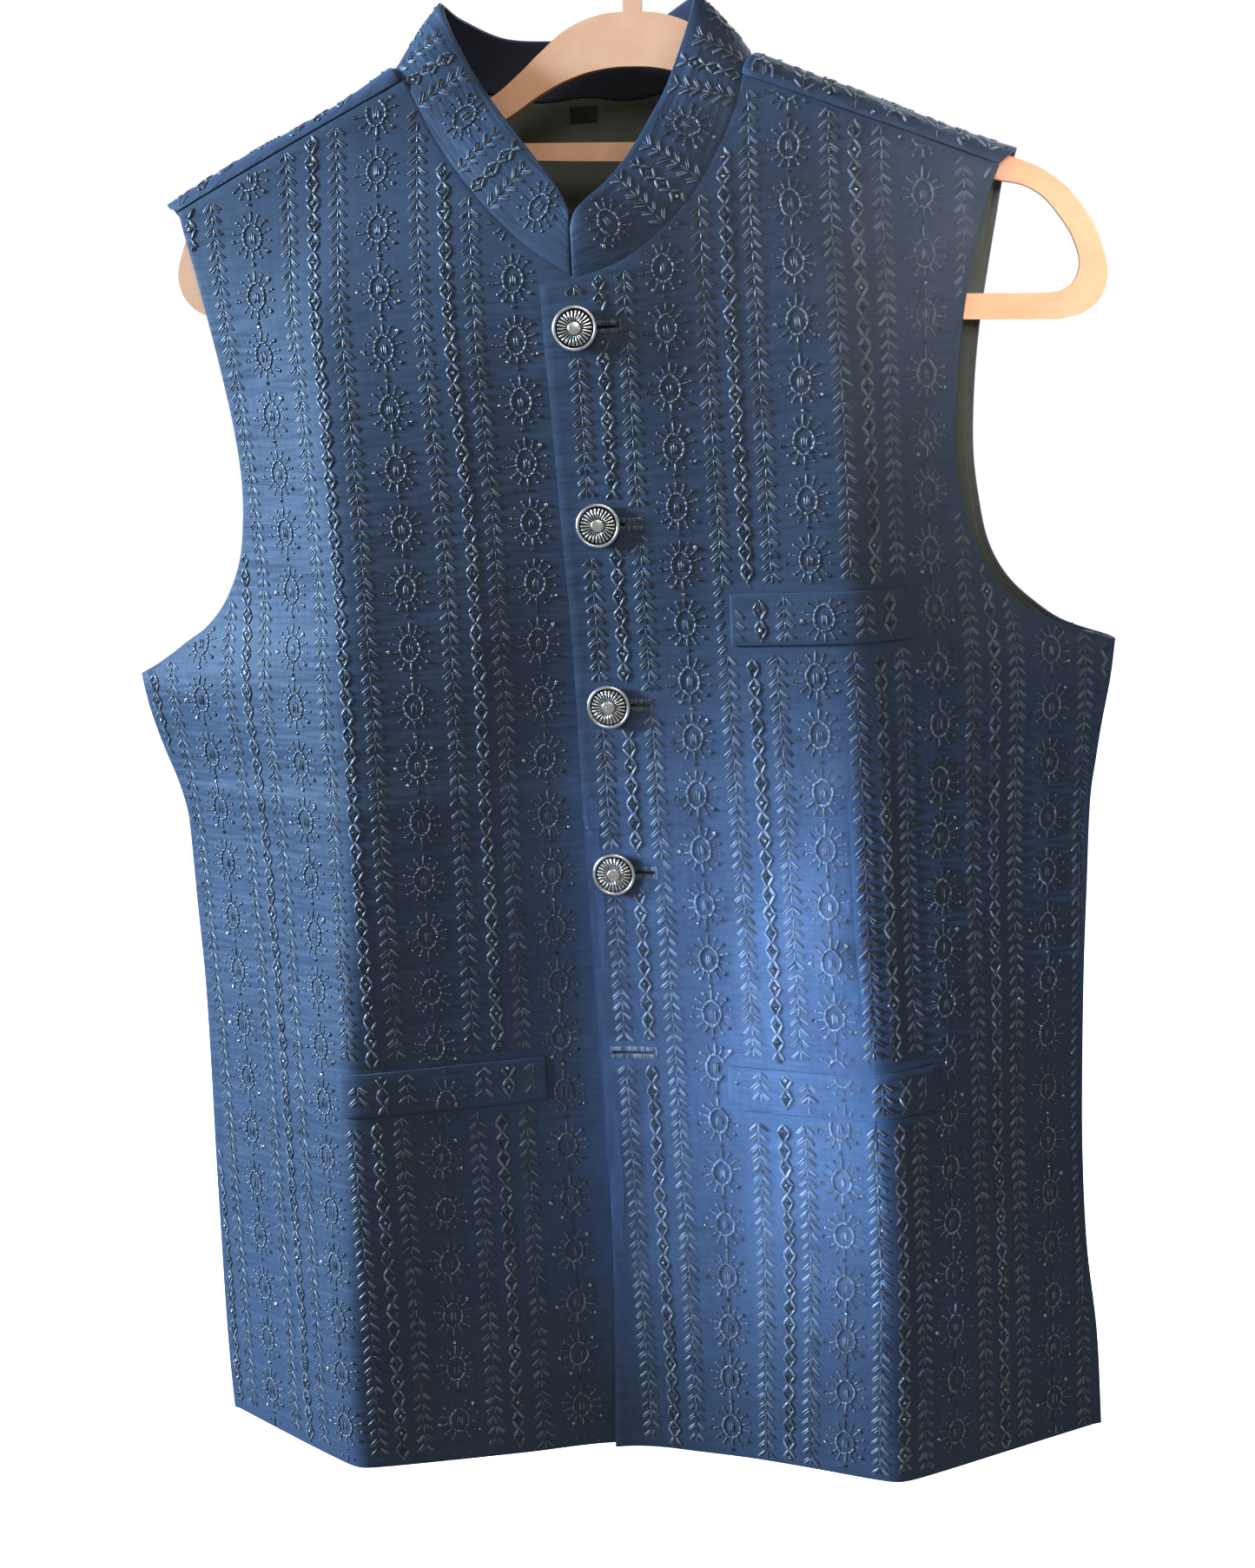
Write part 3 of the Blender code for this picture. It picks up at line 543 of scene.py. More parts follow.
def front_point(side: Side, across: Any, down: Any) -> Array:
    """Places on a front's middle surface."""
    across, down = np.asarray(across, float), np.asarray(down, float)
    return point(across, down, front_depth(side, across, down) + uneven(across, down))


def section_edges(section: Section, side: Side) -> tuple[float, float, float, float]:
    """Inner and outer edge of a section on one front: across, down."""
    if side == LEFT:
        return section.left, section.left_down, section.left_out, section.left_out_down
    return section.right, section.right_down, section.right_out, section.right_out_down


def seam_down(side: Side, across: float) -> float:
    """Level of the forward shoulder seam at a place across."""
    inner, inner_down, outer, outer_down = section_edges(SECTIONS[0], side)
    return mix(inner_down, outer_down, (abs(across) - inner) / (outer - inner))


def underarm_depth(side: Side) -> float:
    """Depth of the side seam at the underarm, on the back."""
    _, _, outer, outer_down = section_edges(SECTIONS[UNDERARM_ROW], side)
    return float(front_depth(side, side * outer, outer_down)) + 2 * SEAM_EASE


def back_depth(across: Any, down: Any, edge: float, edge_depth: float) -> Any:
    """Depth of the back between its centre and an edge."""
    centre = glide(BACK_FORM, "centre", down)
    full = 1.0 - np.minimum(np.abs(across) / edge, 1.0) ** BACK_CURVE
    return mix(edge_depth, centre, full)


def roll_point(side: Side, across: float, roll: float) -> Array:
    """A place on the shoulder, by its angle round the ridge in degrees."""
    top = float(glide(RIDGE, side.word + "_down", abs(across)))
    turn = math.radians(abs(roll))
    if roll < 0:
        seam = seam_down(side, across)
        depth = float(front_depth(side, across, seam))
        return point(across, mix(seam - GAP, top, math.cos(turn)), depth * math.sin(turn))
    edge = getattr(SHOULDER_END[-1], side.word)
    depth = float(back_depth(across, top, edge, underarm_depth(side) + BACK_ROWS[0].set_back))
    return point(across, top + ROLL * depth * (1.0 - math.cos(turn)), depth * math.sin(turn))


def neck_step(share: float) -> tuple[float, float]:
    """Place across and angle round the ridge on the back neckline."""
    return float(glide(BACK_NECK, "across", share)), float(glide(BACK_NECK, "roll", share))


def back_half(side: Side) -> list[list[Array]]:
    """Rows of points over one half of the back, from its centre outward."""
    neck = [row.share * NECK_SHARE for row in BACK_NECK]
    wing = [mix(NECK_SHARE, 1.0, step / WING_STEPS) for step in range(1, WING_STEPS + 1)]
    grid = []
    for step in range(ROLL_ROWS + 1):
        share = step / ROLL_ROWS
        row = []
        for column in neck:
            start, roll = neck_step(column / NECK_SHARE)
            place = mix(start, column / NECK_SHARE * NECK_COLUMN, share)
            row.append(roll_point(side, side * place, mix(roll, 90.0, share)))
        for column in wing:
            roll = mix(-90.0, 90.0, share)
            inner = mix(BACK_NECK[-1].across, NECK_COLUMN, share)
            outer = float(glide(SHOULDER_END, side.word, roll))
            place = mix(inner, outer, (column - NECK_SHARE) / (1.0 - NECK_SHARE))
            row.append(roll_point(side, side * place, roll))
        grid.append(row)
    under = underarm_depth(side)
    levels = [(r.down, r.edge_down, getattr(r, side.word), under + r.set_back) for r in BACK_ROWS]
    for index in BACK_SIDE_ROWS:
        _, inner_down, outer, outer_down = section_edges(SECTIONS[index], side)
        depth = float(front_depth(side, side * outer, outer_down)) + SEAM_EASE
        levels.append((mix(inner_down, outer_down, 0.9), outer_down, outer, depth))
    for down, edge_down, edge, depth in levels:
        row = []
        for column in neck + wing:
            place = side * column * edge
            level = mix(down, edge_down, column ** 2)
            row.append(point(place, level, back_depth(place, level, edge, depth)))
        grid.append(row)
    return grid


def back_grid() -> Array:
    """Rows of points over the whole back, from the right edge to the left."""
    grid = []
    for left, right in zip(back_half(LEFT), back_half(RIGHT)):
        grid.append(right[:0:-1] + [(left[0] + right[0]) / 2] + left[1:])
    return np.array(grid)


def trimmed(grid: Array, inset: float, rise: float) -> Array:
    """A grid cut back by an inset at both ends of its rows and a rise at its hem."""
    cut = grid.copy()
    for end, beside in ((0, 1), (-1, -2)):
        cut[:, end] += unit(cut[:, beside] - cut[:, end]) * inset
    cut[-1] += unit(cut[-2] - cut[-1]) * rise
    return cut


def front_grid(side: Side, per_row: float = 4.6, inner_columns: int = 40, outer_columns: int = 32) -> Array:
    """Rows of points over one front, from the shoulder seam to the hem.

    Args:
        side: which front.
        per_row: most that two rows are apart.
        inner_columns: columns between the front's edge and its pressed fold.
        outer_columns: columns between the fold and the side.

    Returns:
        A grid of places in the garment's frame; across grows with a column.
    """
    table = np.array([section_edges(section, side) for section in SECTIONS])
    table[0, 1] += GAP
    table[0, 3] += GAP
    span = np.maximum(np.diff(table[:, 1]), np.diff(table[:, 3]))
    at = [0.0]
    for row, reach in enumerate(span):
        count = max(3, round(reach / per_row))
        at += [row + (step + 1) / count for step in range(count)]
    rows = np.arange(len(SECTIONS))
    collar = (LEFT_COLLAR_ROW, LEFT_COLLAR_ROW + 1) if side == LEFT else (RIGHT_COLLAR_ROW, RIGHT_COLLAR_ROW + 1)
    inner, inner_down = curve(rows, table[:, :2], at, collar).T
    outer, outer_down = curve(rows, table[:, 2:], at, (UNDERARM_ROW,)).T
    fold = glide(FRONT_FORM, side.word + "_at", mix(inner_down, outer_down, 0.5))
    t, s = np.linspace(0, 1, inner_columns + 1), np.linspace(0, 1, outer_columns + 1)[1:]
    t, s = 1.0 - (1.0 - t) ** 1.25, s ** 1.25
    places = np.concatenate([inner[:, None] + (fold - inner)[:, None] * t,
                             fold[:, None] + (outer - fold)[:, None] * s], axis=1)
    share = (places - inner[:, None]) / (outer - inner)[:, None]
    downs = inner_down[:, None] + (outer_down - inner_down)[:, None] * share
    grid = front_point(side, side * places, downs)
    ease_in = np.clip(np.array(at) - UNDERARM_ROW + 1.0, 0.0, 1.0)
    grid[:, -1, 1] -= SEAM_EASE * ease_in
    return grid if side == LEFT else grid[:, ::-1]


def neck_seam(fronts: dict[Side, Array], back: Array, neck_columns: tuple[int, int]) -> Array:
    """The neck seam line, from the collar's left end round to its right end.

    Args:
        fronts: the fine grid of either front.
        back: the back's fine grid.
        neck_columns: its columns at the right and left neck corner.

    Returns:
        A line of points.
    """
    left_edge, right_edge = fronts[LEFT][:, 0], fronts[RIGHT][:, -1]
    left_end = int(np.argmin(np.abs(left_edge[:, 0] - 0.5) + (left_edge[:, 2] < -104) * 99))
    right_end = int(np.argmin(np.abs(right_edge[:, 0] + 0.6) + (right_edge[:, 2] < -104) * 99))
    neck = back[0, neck_columns[0]:neck_columns[1] + 1]
    return np.concatenate([left_edge[left_end:0:-1], neck[::-1][1:-1], right_edge[1:right_end + 1]])


def collar_grid(seam: Array, stations: int, steps: int, lift: float) -> Array:
    """Rows of points over the collar, a row for each station from its left end.

    Args:
        seam: the neck seam line.
        stations: how many spaces the rows stand apart by.
        steps: spaces between the lower and the upper edge.
        lift: the lower edge above the seam line.

    Returns:
        The grid.
    """
    run = lengths(seam, 0)
    share = np.linspace(0.0, 1.0, stations + 1)

    def along(at: Array) -> Array:
        """Points on the seam by their share of it."""
        want = np.clip(at, 0, 1) * run[-1]
        return np.stack([np.interp(want, run, seam[:, axis]) for axis in range(3)], axis=-1)

    low = along(share)
    high = point(*(glide(COLLAR_TOP, c, share) for c in ("across", "down", "depth")))
    rise = unit(high - low)
    outward = unit(np.cross(along(share + 0.012) - along(share - 0.012), rise))
    low = low + rise * lift
    t = np.linspace(0.0, 1.0, steps + 1)[None, :, None]
    crumple = 0.55 * np.sin(share * 61.0) * np.sin(share * 23.0 + 0.7)
    bow = COLLAR_CROWN * 4 * t * (1 - t) + crumple[:, None, None] * t * t
    return mix(low[:, None], high[:, None], t) + outward[:, None] * bow


# ---------------------------------------------------------------- shader maths

@dataclass
class Value:
    """A node's output that takes part in shader maths."""

    graph: "Graph"
    socket: bpy.types.NodeSocket

    def __add__(self, other: Any) -> "Value":
        """Sum."""
        return self.graph.maths("ADD", self, other)

    def __sub__(self, other: Any) -> "Value":
        """Difference."""
        return self.graph.maths("SUBTRACT", self, other)

    def __rsub__(self, other: Any) -> "Value":
        """Difference, from the other side."""
        return self.graph.maths("SUBTRACT", other, self)

    def __mul__(self, other: Any) -> "Value":
        """Product."""
        return self.graph.maths("MULTIPLY", self, other)

    def __pow__(self, other: Any) -> "Value":
        """Power."""
        return self.graph.maths("POWER", self, other)

    __radd__ = __add__
    __rmul__ = __mul__


class Graph:
    """A material's nodes, made one by one."""

    def __init__(self, name: str, preview: Colour) -> None:
        """Start a material.

        Args:
            name: the material's name.
            preview: its plain colour in a viewport.
        """
        self.material = bpy.data.materials.new(name)
        self.material.use_nodes = True
        self.material.diffuse_color = (*preview, 1.0)
        self.tree = self.material.node_tree
        self.shader = self.tree.nodes["Principled BSDF"]

    def node(self, kind: str, settings: dict[str, Any] | None = None,
             inputs: dict[Any, Any] | None = None, output: Any = 0) -> Value:
        """Make one node.

        Args:
            kind: its type, without the leading ShaderNode.
            settings: what is set on the node first; stops are a ramp's colours.
            inputs: values or links of its sockets.
            output: the socket that is returned.

        Returns:
            The chosen output.
        """
        made = self.tree.nodes.new("ShaderNode" + kind)
        for key, setting in (settings or {}).items():
            if key == "stops":
                ramp = made.color_ramp
                for index, (place, colour) in enumerate(setting):
                    stop = ramp.elements[index] if index < 2 else ramp.elements.new(place)
                    stop.position, stop.color = place, (*colour, 1.0)
            else:
                setattr(made, key, setting)
        for key, given in (inputs or {}).items():
            self.feed(made.inputs[key], given)
        return Value(self, made.outputs[output])

    def feed(self, socket: bpy.types.NodeSocket, given: Any) -> None:
        """Link a value to a socket, or set the socket's number or colour."""
        if isinstance(given, Value):
            self.tree.links.new(given.socket, socket)
        else:
            socket.default_value = given

    def maths(self, operation: str, a: Any, b: Any = 0.0, clamp: bool = False) -> Value:
        """One Math node."""
        return self.node("Math", {"operation": operation, "use_clamp": clamp}, {0: a, 1: b})

    def blend(self, share: Any, a: Any, b: Any, how: str = "MIX") -> Value:
        """A colour between two colours."""
        a, b = (x if isinstance(x, Value) else (*x, 1.0) for x in (a, b))
        return self.node("Mix", {"data_type": "RGBA", "blend_type": how}, {0: share, 6: a, 7: b}, 2)

    def span(self, value: Any, low: float, high: float, to: tuple[float, float] = (0.0, 1.0)) -> Value:
        """A value carried from one range to another, and held inside it."""
        return self.node("MapRange", {"clamp": True}, {0: value, 1: low, 2: high, 3: to[0], 4: to[1]})

    def place(self, uv: str | None, scale: tuple[float, float, float]) -> Value:
        """Coordinates from a UV map, or from the object, times a scale."""
        source = (self.node("UVMap", {"uv_map": uv}) if uv
                  else self.node("TexCoord", {}, {}, "Object"))
        return self.node("Mapping", {"vector_type": "POINT"}, {"Vector": source, "Scale": scale})

    def noise(self, at: Value, detail: float = 2.0, rough: float = 0.5, scale: float = 1.0) -> Value:
        """Soft noise from 0 to 1."""
        return self.node("TexNoise", {}, {"Vector": at, "Scale": scale, "Detail": detail, "Roughness": rough})

    def bump(self, height: Value, depth: float, strength: float = 1.0, onto: Value | None = None) -> Value:
        """A normal bent by a height of the given depth in metres."""
        inputs = {"Height": height, "Distance": depth, "Strength": strength}
        if onto is not None:
            inputs["Normal"] = onto
        return self.node("Bump", {}, inputs)

    def finish(self, **sockets: Any) -> bpy.types.Material:
        """Feed the shader's sockets, by their names with underscores for spaces."""
        for key, given in sockets.items():
            self.feed(self.shader.inputs[key.replace("_", " ")], given)
        return self.material


def rgba(colour: Colour) -> tuple[float, float, float, float]:
    """A colour for a socket."""
    return (*colour, 1.0)


# ---------------------------------------------------------------- finishes

@dataclass(frozen=True)
class Weave:
    """A woven cloth with puckers between its columns of stitches."""

    name: str
    slot: str
    deep: Colour
    pale: Colour
    threads: float = 2100.0       # threads in a metre
    pucker: float = 0.0009        # depth of the puckers
    pucker_wide: float = 46.0     # puckers in a metre, across and down
    pucker_tall: float = 230.0
    roughness: float = 0.62
    sheen: float = 0.28
    sheen_tint: Colour = (0.45, 0.62, 1.0)

    def build(self) -> bpy.types.Material:
        """Make the material."""
        g = Graph(self.name, self.pale)
        warp = g.node("TexWave", {"wave_type": "BANDS", "bands_direction": "X"},
                      {"Vector": g.place("cloth", (self.threads / 6.28,) * 3), "Scale": 1.0,
                       "Distortion": 0.6, "Detail": 1.0}, 1)
        weft = g.node("TexWave", {"wave_type": "BANDS", "bands_direction": "Y"},
                      {"Vector": g.place("cloth", (self.threads / 6.28,) * 3), "Scale": 1.0,
                       "Distortion": 0.6, "Detail": 1.0}, 1)
        weave = warp * weft
        slub = g.noise(g.place("cloth", (420.0, 90.0, 1.0)), 3.0)
        patch = g.noise(g.place("cloth", (14.0, 9.0, 1.0)), 2.0)
        pucker = g.noise(g.place("cloth", (self.pucker_wide, self.pucker_tall, 1.0)), 1.5)
        fold = g.noise(g.place("cloth", (16.0, 60.0, 1.0)), 1.0)
        share = g.span(slub * 0.45 + patch * 0.4 + weave * 0.25, 0.25, 0.85)
        colour = g.blend(share, self.deep, self.pale)
        relief = g.bump(fold, self.pucker * 1.6)
        relief = g.bump(pucker, self.pucker, 1.0, relief)
        relief = g.bump(weave * 0.8 + slub * 0.5, 0.00006, 0.8, relief)
        rough = g.span(share, 0.0, 1.0, (self.roughness + 0.08, self.roughness - 0.06))
        return g.finish(Base_Color=colour, Roughness=rough, Normal=relief,
                        Sheen_Weight=self.sheen, Sheen_Roughness=0.42,
                        Sheen_Tint=rgba(self.sheen_tint), Specular_IOR_Level=0.35)


@dataclass(frozen=True)
class Thread:
    """Silky embroidery thread, a little different from stitch to stitch."""

    name: str
    slot: str
    deep: Colour
    pale: Colour
    roughness: float = 0.30
    sheen: float = 0.35

    def build(self) -> bpy.types.Material:
        """Make the material."""
        g = Graph(self.name, self.pale)
        tone = g.node("Attribute", {"attribute_name": "tone"}, {}, "Fac")
        strand = g.noise(g.place(None, (900.0, 900.0, 900.0)), 2.0)
        colour = g.blend(g.span(tone * 0.8 + strand * 0.4, 0.3, 0.95), self.deep, self.pale)
        relief = g.bump(strand, 0.00012, 0.6)
        return g.finish(Base_Color=colour, Roughness=g.span(strand, 0.3, 0.7, (self.roughness, self.roughness + 0.12)),
                        Normal=relief, Sheen_Weight=self.sheen, Sheen_Roughness=0.35,
                        Sheen_Tint=rgba((0.7, 0.8, 1.0)), Specular_IOR_Level=1.0)


@dataclass(frozen=True)
class Smooth:
    """A moulded, turned or drawn surface with faint unevenness and wear."""

    name: str
    slot: str
    deep: Colour
    pale: Colour
    roughness: float
    metallic: float = 0.0
    grain: float = 60.0           # patches in a metre
    relief: float = 0.00003
    coat: float = 0.0
    spread: float = 0.12          # how much the roughness varies

    def build(self) -> bpy.types.Material:
        """Make the material."""
        g = Graph(self.name, self.pale)
        patch = g.noise(g.place(None, (self.grain,) * 3), 3.0)
        fine = g.noise(g.place(None, (self.grain * 18.0,) * 3), 2.0)
        share = g.span(patch * 0.7 + fine * 0.3, 0.3, 0.7)
        rough = g.span(fine, 0.3, 0.7, (self.roughness, self.roughness + self.spread))
        return g.finish(Base_Color=g.blend(share, self.deep, self.pale), Roughness=rough,
                        Normal=g.bump(fine, self.relief, 0.6), Metallic=self.metallic, Coat_Weight=self.coat)


CLOTH_FINISH = Weave("navy_weave", "navy_cloth", (0.014, 0.027, 0.053), (0.029, 0.052, 0.098))
LINING_FINISH = Weave("olive_satin", "olive_lining", (0.060, 0.066, 0.050), (0.092, 0.098, 0.078),
                      3200.0, 0.00018, 30.0, 26.0, 0.48, 0.10, (0.8, 0.8, 0.7))
BAND_FINISH = Weave("dark_navy_twill", "plain_navy", (0.013, 0.017, 0.032), (0.028, 0.033, 0.058),
                    2600.0, 0.00012, 40.0, 40.0, 0.6, 0.25, (0.5, 0.55, 0.9))
TAB_FINISH = Weave("black_tape", "black_tab", (0.004, 0.004, 0.005), (0.012, 0.012, 0.012),
                   3000.0, 0.00005, 200.0, 200.0, 0.6, 0.1, (0.7, 0.7, 0.7))
THREAD_FINISH = Thread("navy_silk", "navy_cloth", (0.006, 0.009, 0.017), (0.125, 0.148, 0.195))
PLASTIC_FINISH = Smooth("peach_gloss", "peach_plastic", (0.88, 0.43, 0.23), (0.96, 0.53, 0.31), 0.36, coat=0.15)
WIRE_FINISH = Smooth("drawn_wire", "bright_wire", (0.55, 0.55, 0.56), (0.74, 0.74, 0.75), 0.2, 1.0, 120.0)
SILVER_FINISH = Smooth("polished_silver", "antique_silver", (0.66, 0.65, 0.64), (0.92, 0.91, 0.89), 0.2, 1.0, 300.0)
RECESS_FINISH = Smooth("blackened_silver", "antique_silver", (0.020, 0.018, 0.024), (0.06, 0.055, 0.065), 0.5, 0.7, 300.0)
SEQUIN_FINISH = Smooth("dark_sequin", "antique_silver", (0.03, 0.035, 0.05), (0.16, 0.17, 0.20), 0.2, 0.8, 300.0)


# ---------------------------------------------------------------- pieces of mesh

def set_down(name: str, form: bmesh.types.BMesh, finishes: Sequence[bpy.types.Material]) -> bpy.types.Object:
    """Make a bmesh an object at the origin, smooth shaded, that rides on the body."""
    mesh = bpy.data.meshes.new(name)
    form.to_mesh(mesh)
    form.free()
    return set_out(name, mesh, finishes)


def set_out(name: str, mesh: bpy.types.Mesh, finishes: Sequence[bpy.types.Material]) -> bpy.types.Object:
    """Make a mesh an object at the origin, smooth shaded, that rides on the body."""
    for finish in finishes:
        mesh.materials.append(finish)
    mesh.shade_smooth()
    made = bpy.data.objects.new(name, mesh)
    bpy.context.scene.collection.objects.link(made)
    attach(made, "root")
    return made


def cut_size(grid: Array) -> tuple[float, float, float]:
    """Width, length and area of the cloth that a grid was cut from, in metres."""
    wide, long = lengths(grid, 1)[:, -1].max(), lengths(grid, 0)[-1].max()
    a, b = grid[1:, 1:] - grid[:-1, :-1], grid[1:, :-1] - grid[:-1, 1:]
    area = np.linalg.norm(np.cross(a, b), axis=-1).sum() / 2
    return float(wide * MM), float(long * MM), float(area * MM * MM)


class Grain(Enum):
    """Which way the cloth's threads run on a grid."""

    PLUMB = "down, level by level"
    HEM = "up its columns from the last row"
    BAND = "along its columns, the rows across"

    def chart(self, grid: Array) -> Array:
        """Across and down on the flat cloth, in millimetres, for each place."""
        run, fall = lengths(grid, 1), lengths(grid, 0)
        if self is Grain.BAND:
            return np.stack([fall, run], axis=-1)
        across = run - run[:, run.shape[1] // 2, None]
        down = -grid[..., 2] if self is Grain.PLUMB else fall - fall[-1]
        return np.stack([across, down], axis=-1)


@dataclass
class Sheet:
    """A wall of cloth along a grid of places."""

    name: str
    node: str
    grid: Array                   # rows of places, millimetres in the garment's frame
    wall: float
    outer: bpy.types.Material
    inner: bpy.types.Material
    off: float = 0.0              # moved outward from the grid by this
    facing: int = 1               # 1 where across times down leaves the cloth inward
    rim: float = 0.45             # rounding of the folded edge
    grain: Grain = Grain.PLUMB

    def build(self) -> bpy.types.Object:
        """Make the sheet with its UV map in metres of cloth.

        Returns:
            The sheet's object, which stands for its node.
        """
        rows, columns = self.grid.shape[:2]
        form = bmesh.new()
        bmesh.ops.create_grid(form, x_segments=columns - 1, y_segments=rows - 1, size=1.0)
        mesh = bpy.data.meshes.new(self.name)
        form.to_mesh(mesh)
        form.free()
        mesh.vertices.foreach_set("co", to_world(self.grid).ravel())
        uv = (self.grain.chart(self.grid) * MM).reshape(-1, 2)
        corners = np.empty(len(mesh.loops), dtype=np.int32)
        mesh.loops.foreach_get("vertex_index", corners)
        layer = mesh.uv_layers.new(name="cloth")
        layer.data.foreach_set("uv", uv[corners].ravel())
        made = set_out(self.name, mesh, (self.inner, self.outer) if self.facing > 0 else (self.outer, self.inner))
        solid = made.modifiers.new("wall", 'SOLIDIFY')
        solid.thickness = self.wall * MM
        solid.offset = -2.0 * self.off / self.wall * self.facing
        solid.material_offset = 1
        solid.material_offset_rim = 1 if self.facing > 0 else 0
        if self.rim:
            soft = made.modifiers.new("rim", 'BEVEL')
            soft.width = self.rim * MM
            soft.segments = 2
            soft.limit_method = 'ANGLE'
            soft.angle_limit = math.radians(50.0)
        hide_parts(self.node)
        return made

    def surface(self) -> float:
        """How far the outer face stands from the grid."""
        return self.off + self.wall / 2


# ---------------------------------------------------------------- embroidery

def inside_by(outline: Array, across: Array, down: Array) -> Array:
    """How far places lie inside a closed outline; negative outside it."""
    a, b = outline, np.roll(outline, -1, axis=0)
    px, py = across.ravel()[:, None], down.ravel()[:, None]
    dx, dy = (b - a).T
    t = np.clip(((px - a[:, 0]) * dx + (py - a[:, 1]) * dy) / np.maximum(dx * dx + dy * dy, 1e-9), 0, 1)
    near = np.sqrt(((px - a[:, 0] - t * dx) ** 2 + (py - a[:, 1] - t * dy) ** 2).min(axis=1))
    spans = (a[:, 1] > py) != (b[:, 1] > py)
    crossing = a[:, 0] + dx * (py - a[:, 1]) / np.where(np.abs(dy) < 1e-9, 1e-9, dy)
    within = (spans & (px < crossing)).sum(axis=1) % 2 == 1
    return np.where(within, near, -near).reshape(across.shape)


@dataclass
class Strip:
    """The cloth beside one column of embroidery."""

    places: Array                 # rows × offsets × 3
    run: Array                    # distance down the column at each row
    offsets: Array                # distance from the column, image right positive
    room: Array                   # rows × offsets: how far from the cloth's edges
    facing: float                 # 1 or -1: which way across × down leaves the cloth

    def __post_init__(self) -> None:
        """Work out the directions over the strip."""
        self.over = unit(np.gradient(self.places, axis=1))
        self.down = unit(np.gradient(self.places, axis=0))
        self.out = unit(np.cross(self.down, self.over)) * self.facing

    def at(self, u: Array, v: Array) -> tuple[Array, ...]:
        """Place, directions across, down and out, and room, at offsets and runs."""
        r = np.clip(np.interp(v, self.run, np.arange(len(self.run))), 0, len(self.run) - 1.001)
        c = np.clip(np.interp(u, self.offsets, np.arange(len(self.offsets))), 0, len(self.offsets) - 1.001)
        i, j = r.astype(int), c.astype(int)
        fr, fc = r - i, c - j

        def pick(field: Array) -> Array:
            """A field's value between its four corners."""
            w = [(1 - fr) * (1 - fc), (1 - fr) * fc, fr * (1 - fc), fr * fc]
            if field.ndim == 3:
                w = [x[:, None] for x in w]
            return (field[i, j] * w[0] + field[i, j + 1] * w[1]
                    + field[i + 1, j] * w[2] + field[i + 1, j + 1] * w[3])

        return tuple(pick(f) for f in (self.places, self.over, self.down, self.out, self.room))


Stitch = tuple[float, float, float, float, float, float]   # u, v, angle, length, width, height


def stroke(x0: float, y0: float, x1: float, y1: float, width: float, height: float = 0.5) -> Stitch:
    """A stitch from one spot to another, x across and y down."""
    return ((x0 + x1) / 2, (y0 + y1) / 2, math.atan2(y1 - y0, x1 - x0),
            math.hypot(x1 - x0, y1 - y0), width, height)


def both(x0: float, y0: float, x1: float, y1: float, width: float, height: float = 0.5) -> list[Stitch]:
    """A stitch and its mirror image across the column."""
    return [stroke(x0, y0, x1, y1, width, height), stroke(-x0, y0, -x1, y1, width, height)]


class Detail(Enum):
    """How many stitches a motif has."""

    FULL = "full"
    PLAIN = "plain"


def fern(detail: Detail) -> list[Stitch]:
    """Two leaves and a stem, the point upward."""
    if detail is Detail.PLAIN:
        return both(0.5, 0.2, 4.7, 4.4, 1.4, 0.8) + [stroke(0.0, 0.3, 0.0, 4.6, 0.8, 0.6)]
    return (both(0.3, 0.0, 4.8, 4.0, 1.1, 0.95) + both(0.2, 1.2, 4.0, 4.7, 0.9, 0.7)
            + [stroke(0.0, 0.2, 0.0, 4.9, 0.85, 0.7)])


def eye(detail: Detail, pitch: float) -> list[Stitch]:
    """Four thick strokes that make a diamond between two joints."""
    h = pitch / 2
    made = both(0.2, -h, 3.1, -0.3, 1.6, 1.1) + both(3.1, -0.3, 0.2, h, 1.6, 1.1)
    if detail is Detail.FULL:
        made += both(0.3, -h + 1.4, 2.0, -0.6, 0.8, 0.5) + [stroke(0.0, -h - 0.6, 0.1, -h + 1.5, 1.0, 0.9)]
    return made


def flower(detail: Detail) -> list[Stitch]:
    """A leaf-shaped ring with a split middle, sprays round it and a stem."""
    made: list[Stitch] = []
    count = 16 if detail is Detail.FULL else 10

    def rim(turn: float) -> tuple[float, float]:
        """A spot on the ring, which is drawn to a point at its top."""
        point_up = 1.0 - 0.38 * max(0.0, -math.cos(turn) * -1.0) ** 3 if math.cos(turn) > 0 else 1.0
        return 4.7 * math.sin(turn) * point_up, -6.3 * math.cos(turn)

    for step in range(count):
        a, b = rim(math.tau * (step - 0.05) / count), rim(math.tau * (step + 1.1) / count)
        made.append(stroke(*a, *b, 1.5, 1.0))
    made += [stroke(x, -2.2 + y, x, 2.6 + y, 0.95, 0.85) for x, y in ((-0.95, 0.5), (0.1, 0.0), (1.1, 0.6))]
    made += [stroke(0.0, -6.6, 0.15, -12.2, 1.0, 0.8), stroke(0.0, 6.6, 0.0, 11.2, 1.1, 0.8)]
    for turn in SPRAYS[detail]:
        x, y = math.sin(math.radians(turn)), -1.12 * math.cos(math.radians(turn))
        made += both(5.4 * x, 6.0 * y, 8.6 * x, 8.8 * y, 0.7, 0.7)
        made += both(8.7 * x, 8.9 * y, 10.1 * x, 10.2 * y, 1.4, 0.9)
    return made


SPRAYS = {Detail.FULL: (24.0, 50.0, 76.0, 101.0, 128.0, 153.0), Detail.PLAIN: (40.0, 88.0, 135.0)}
EYE_BEADS = ((0.0, 0.1, 0.8),)
EYE_SEQUINS = ((0.0, 0.0, 1.45),)
FLOWER_BEADS = ((0.0, -13.4, 0.85), (7.2, -7.9, 1.0), (-10.3, 1.2, 1.0), (9.4, 6.6, 0.75), (-4.9, 9.8, 0.9))
FLOWER_SEQUINS = ((7.4, -7.0, 1.1), (-10.2, 1.8, 1.1), (8.0, 7.2, 1.1), (0.0, 12.7, 1.1))


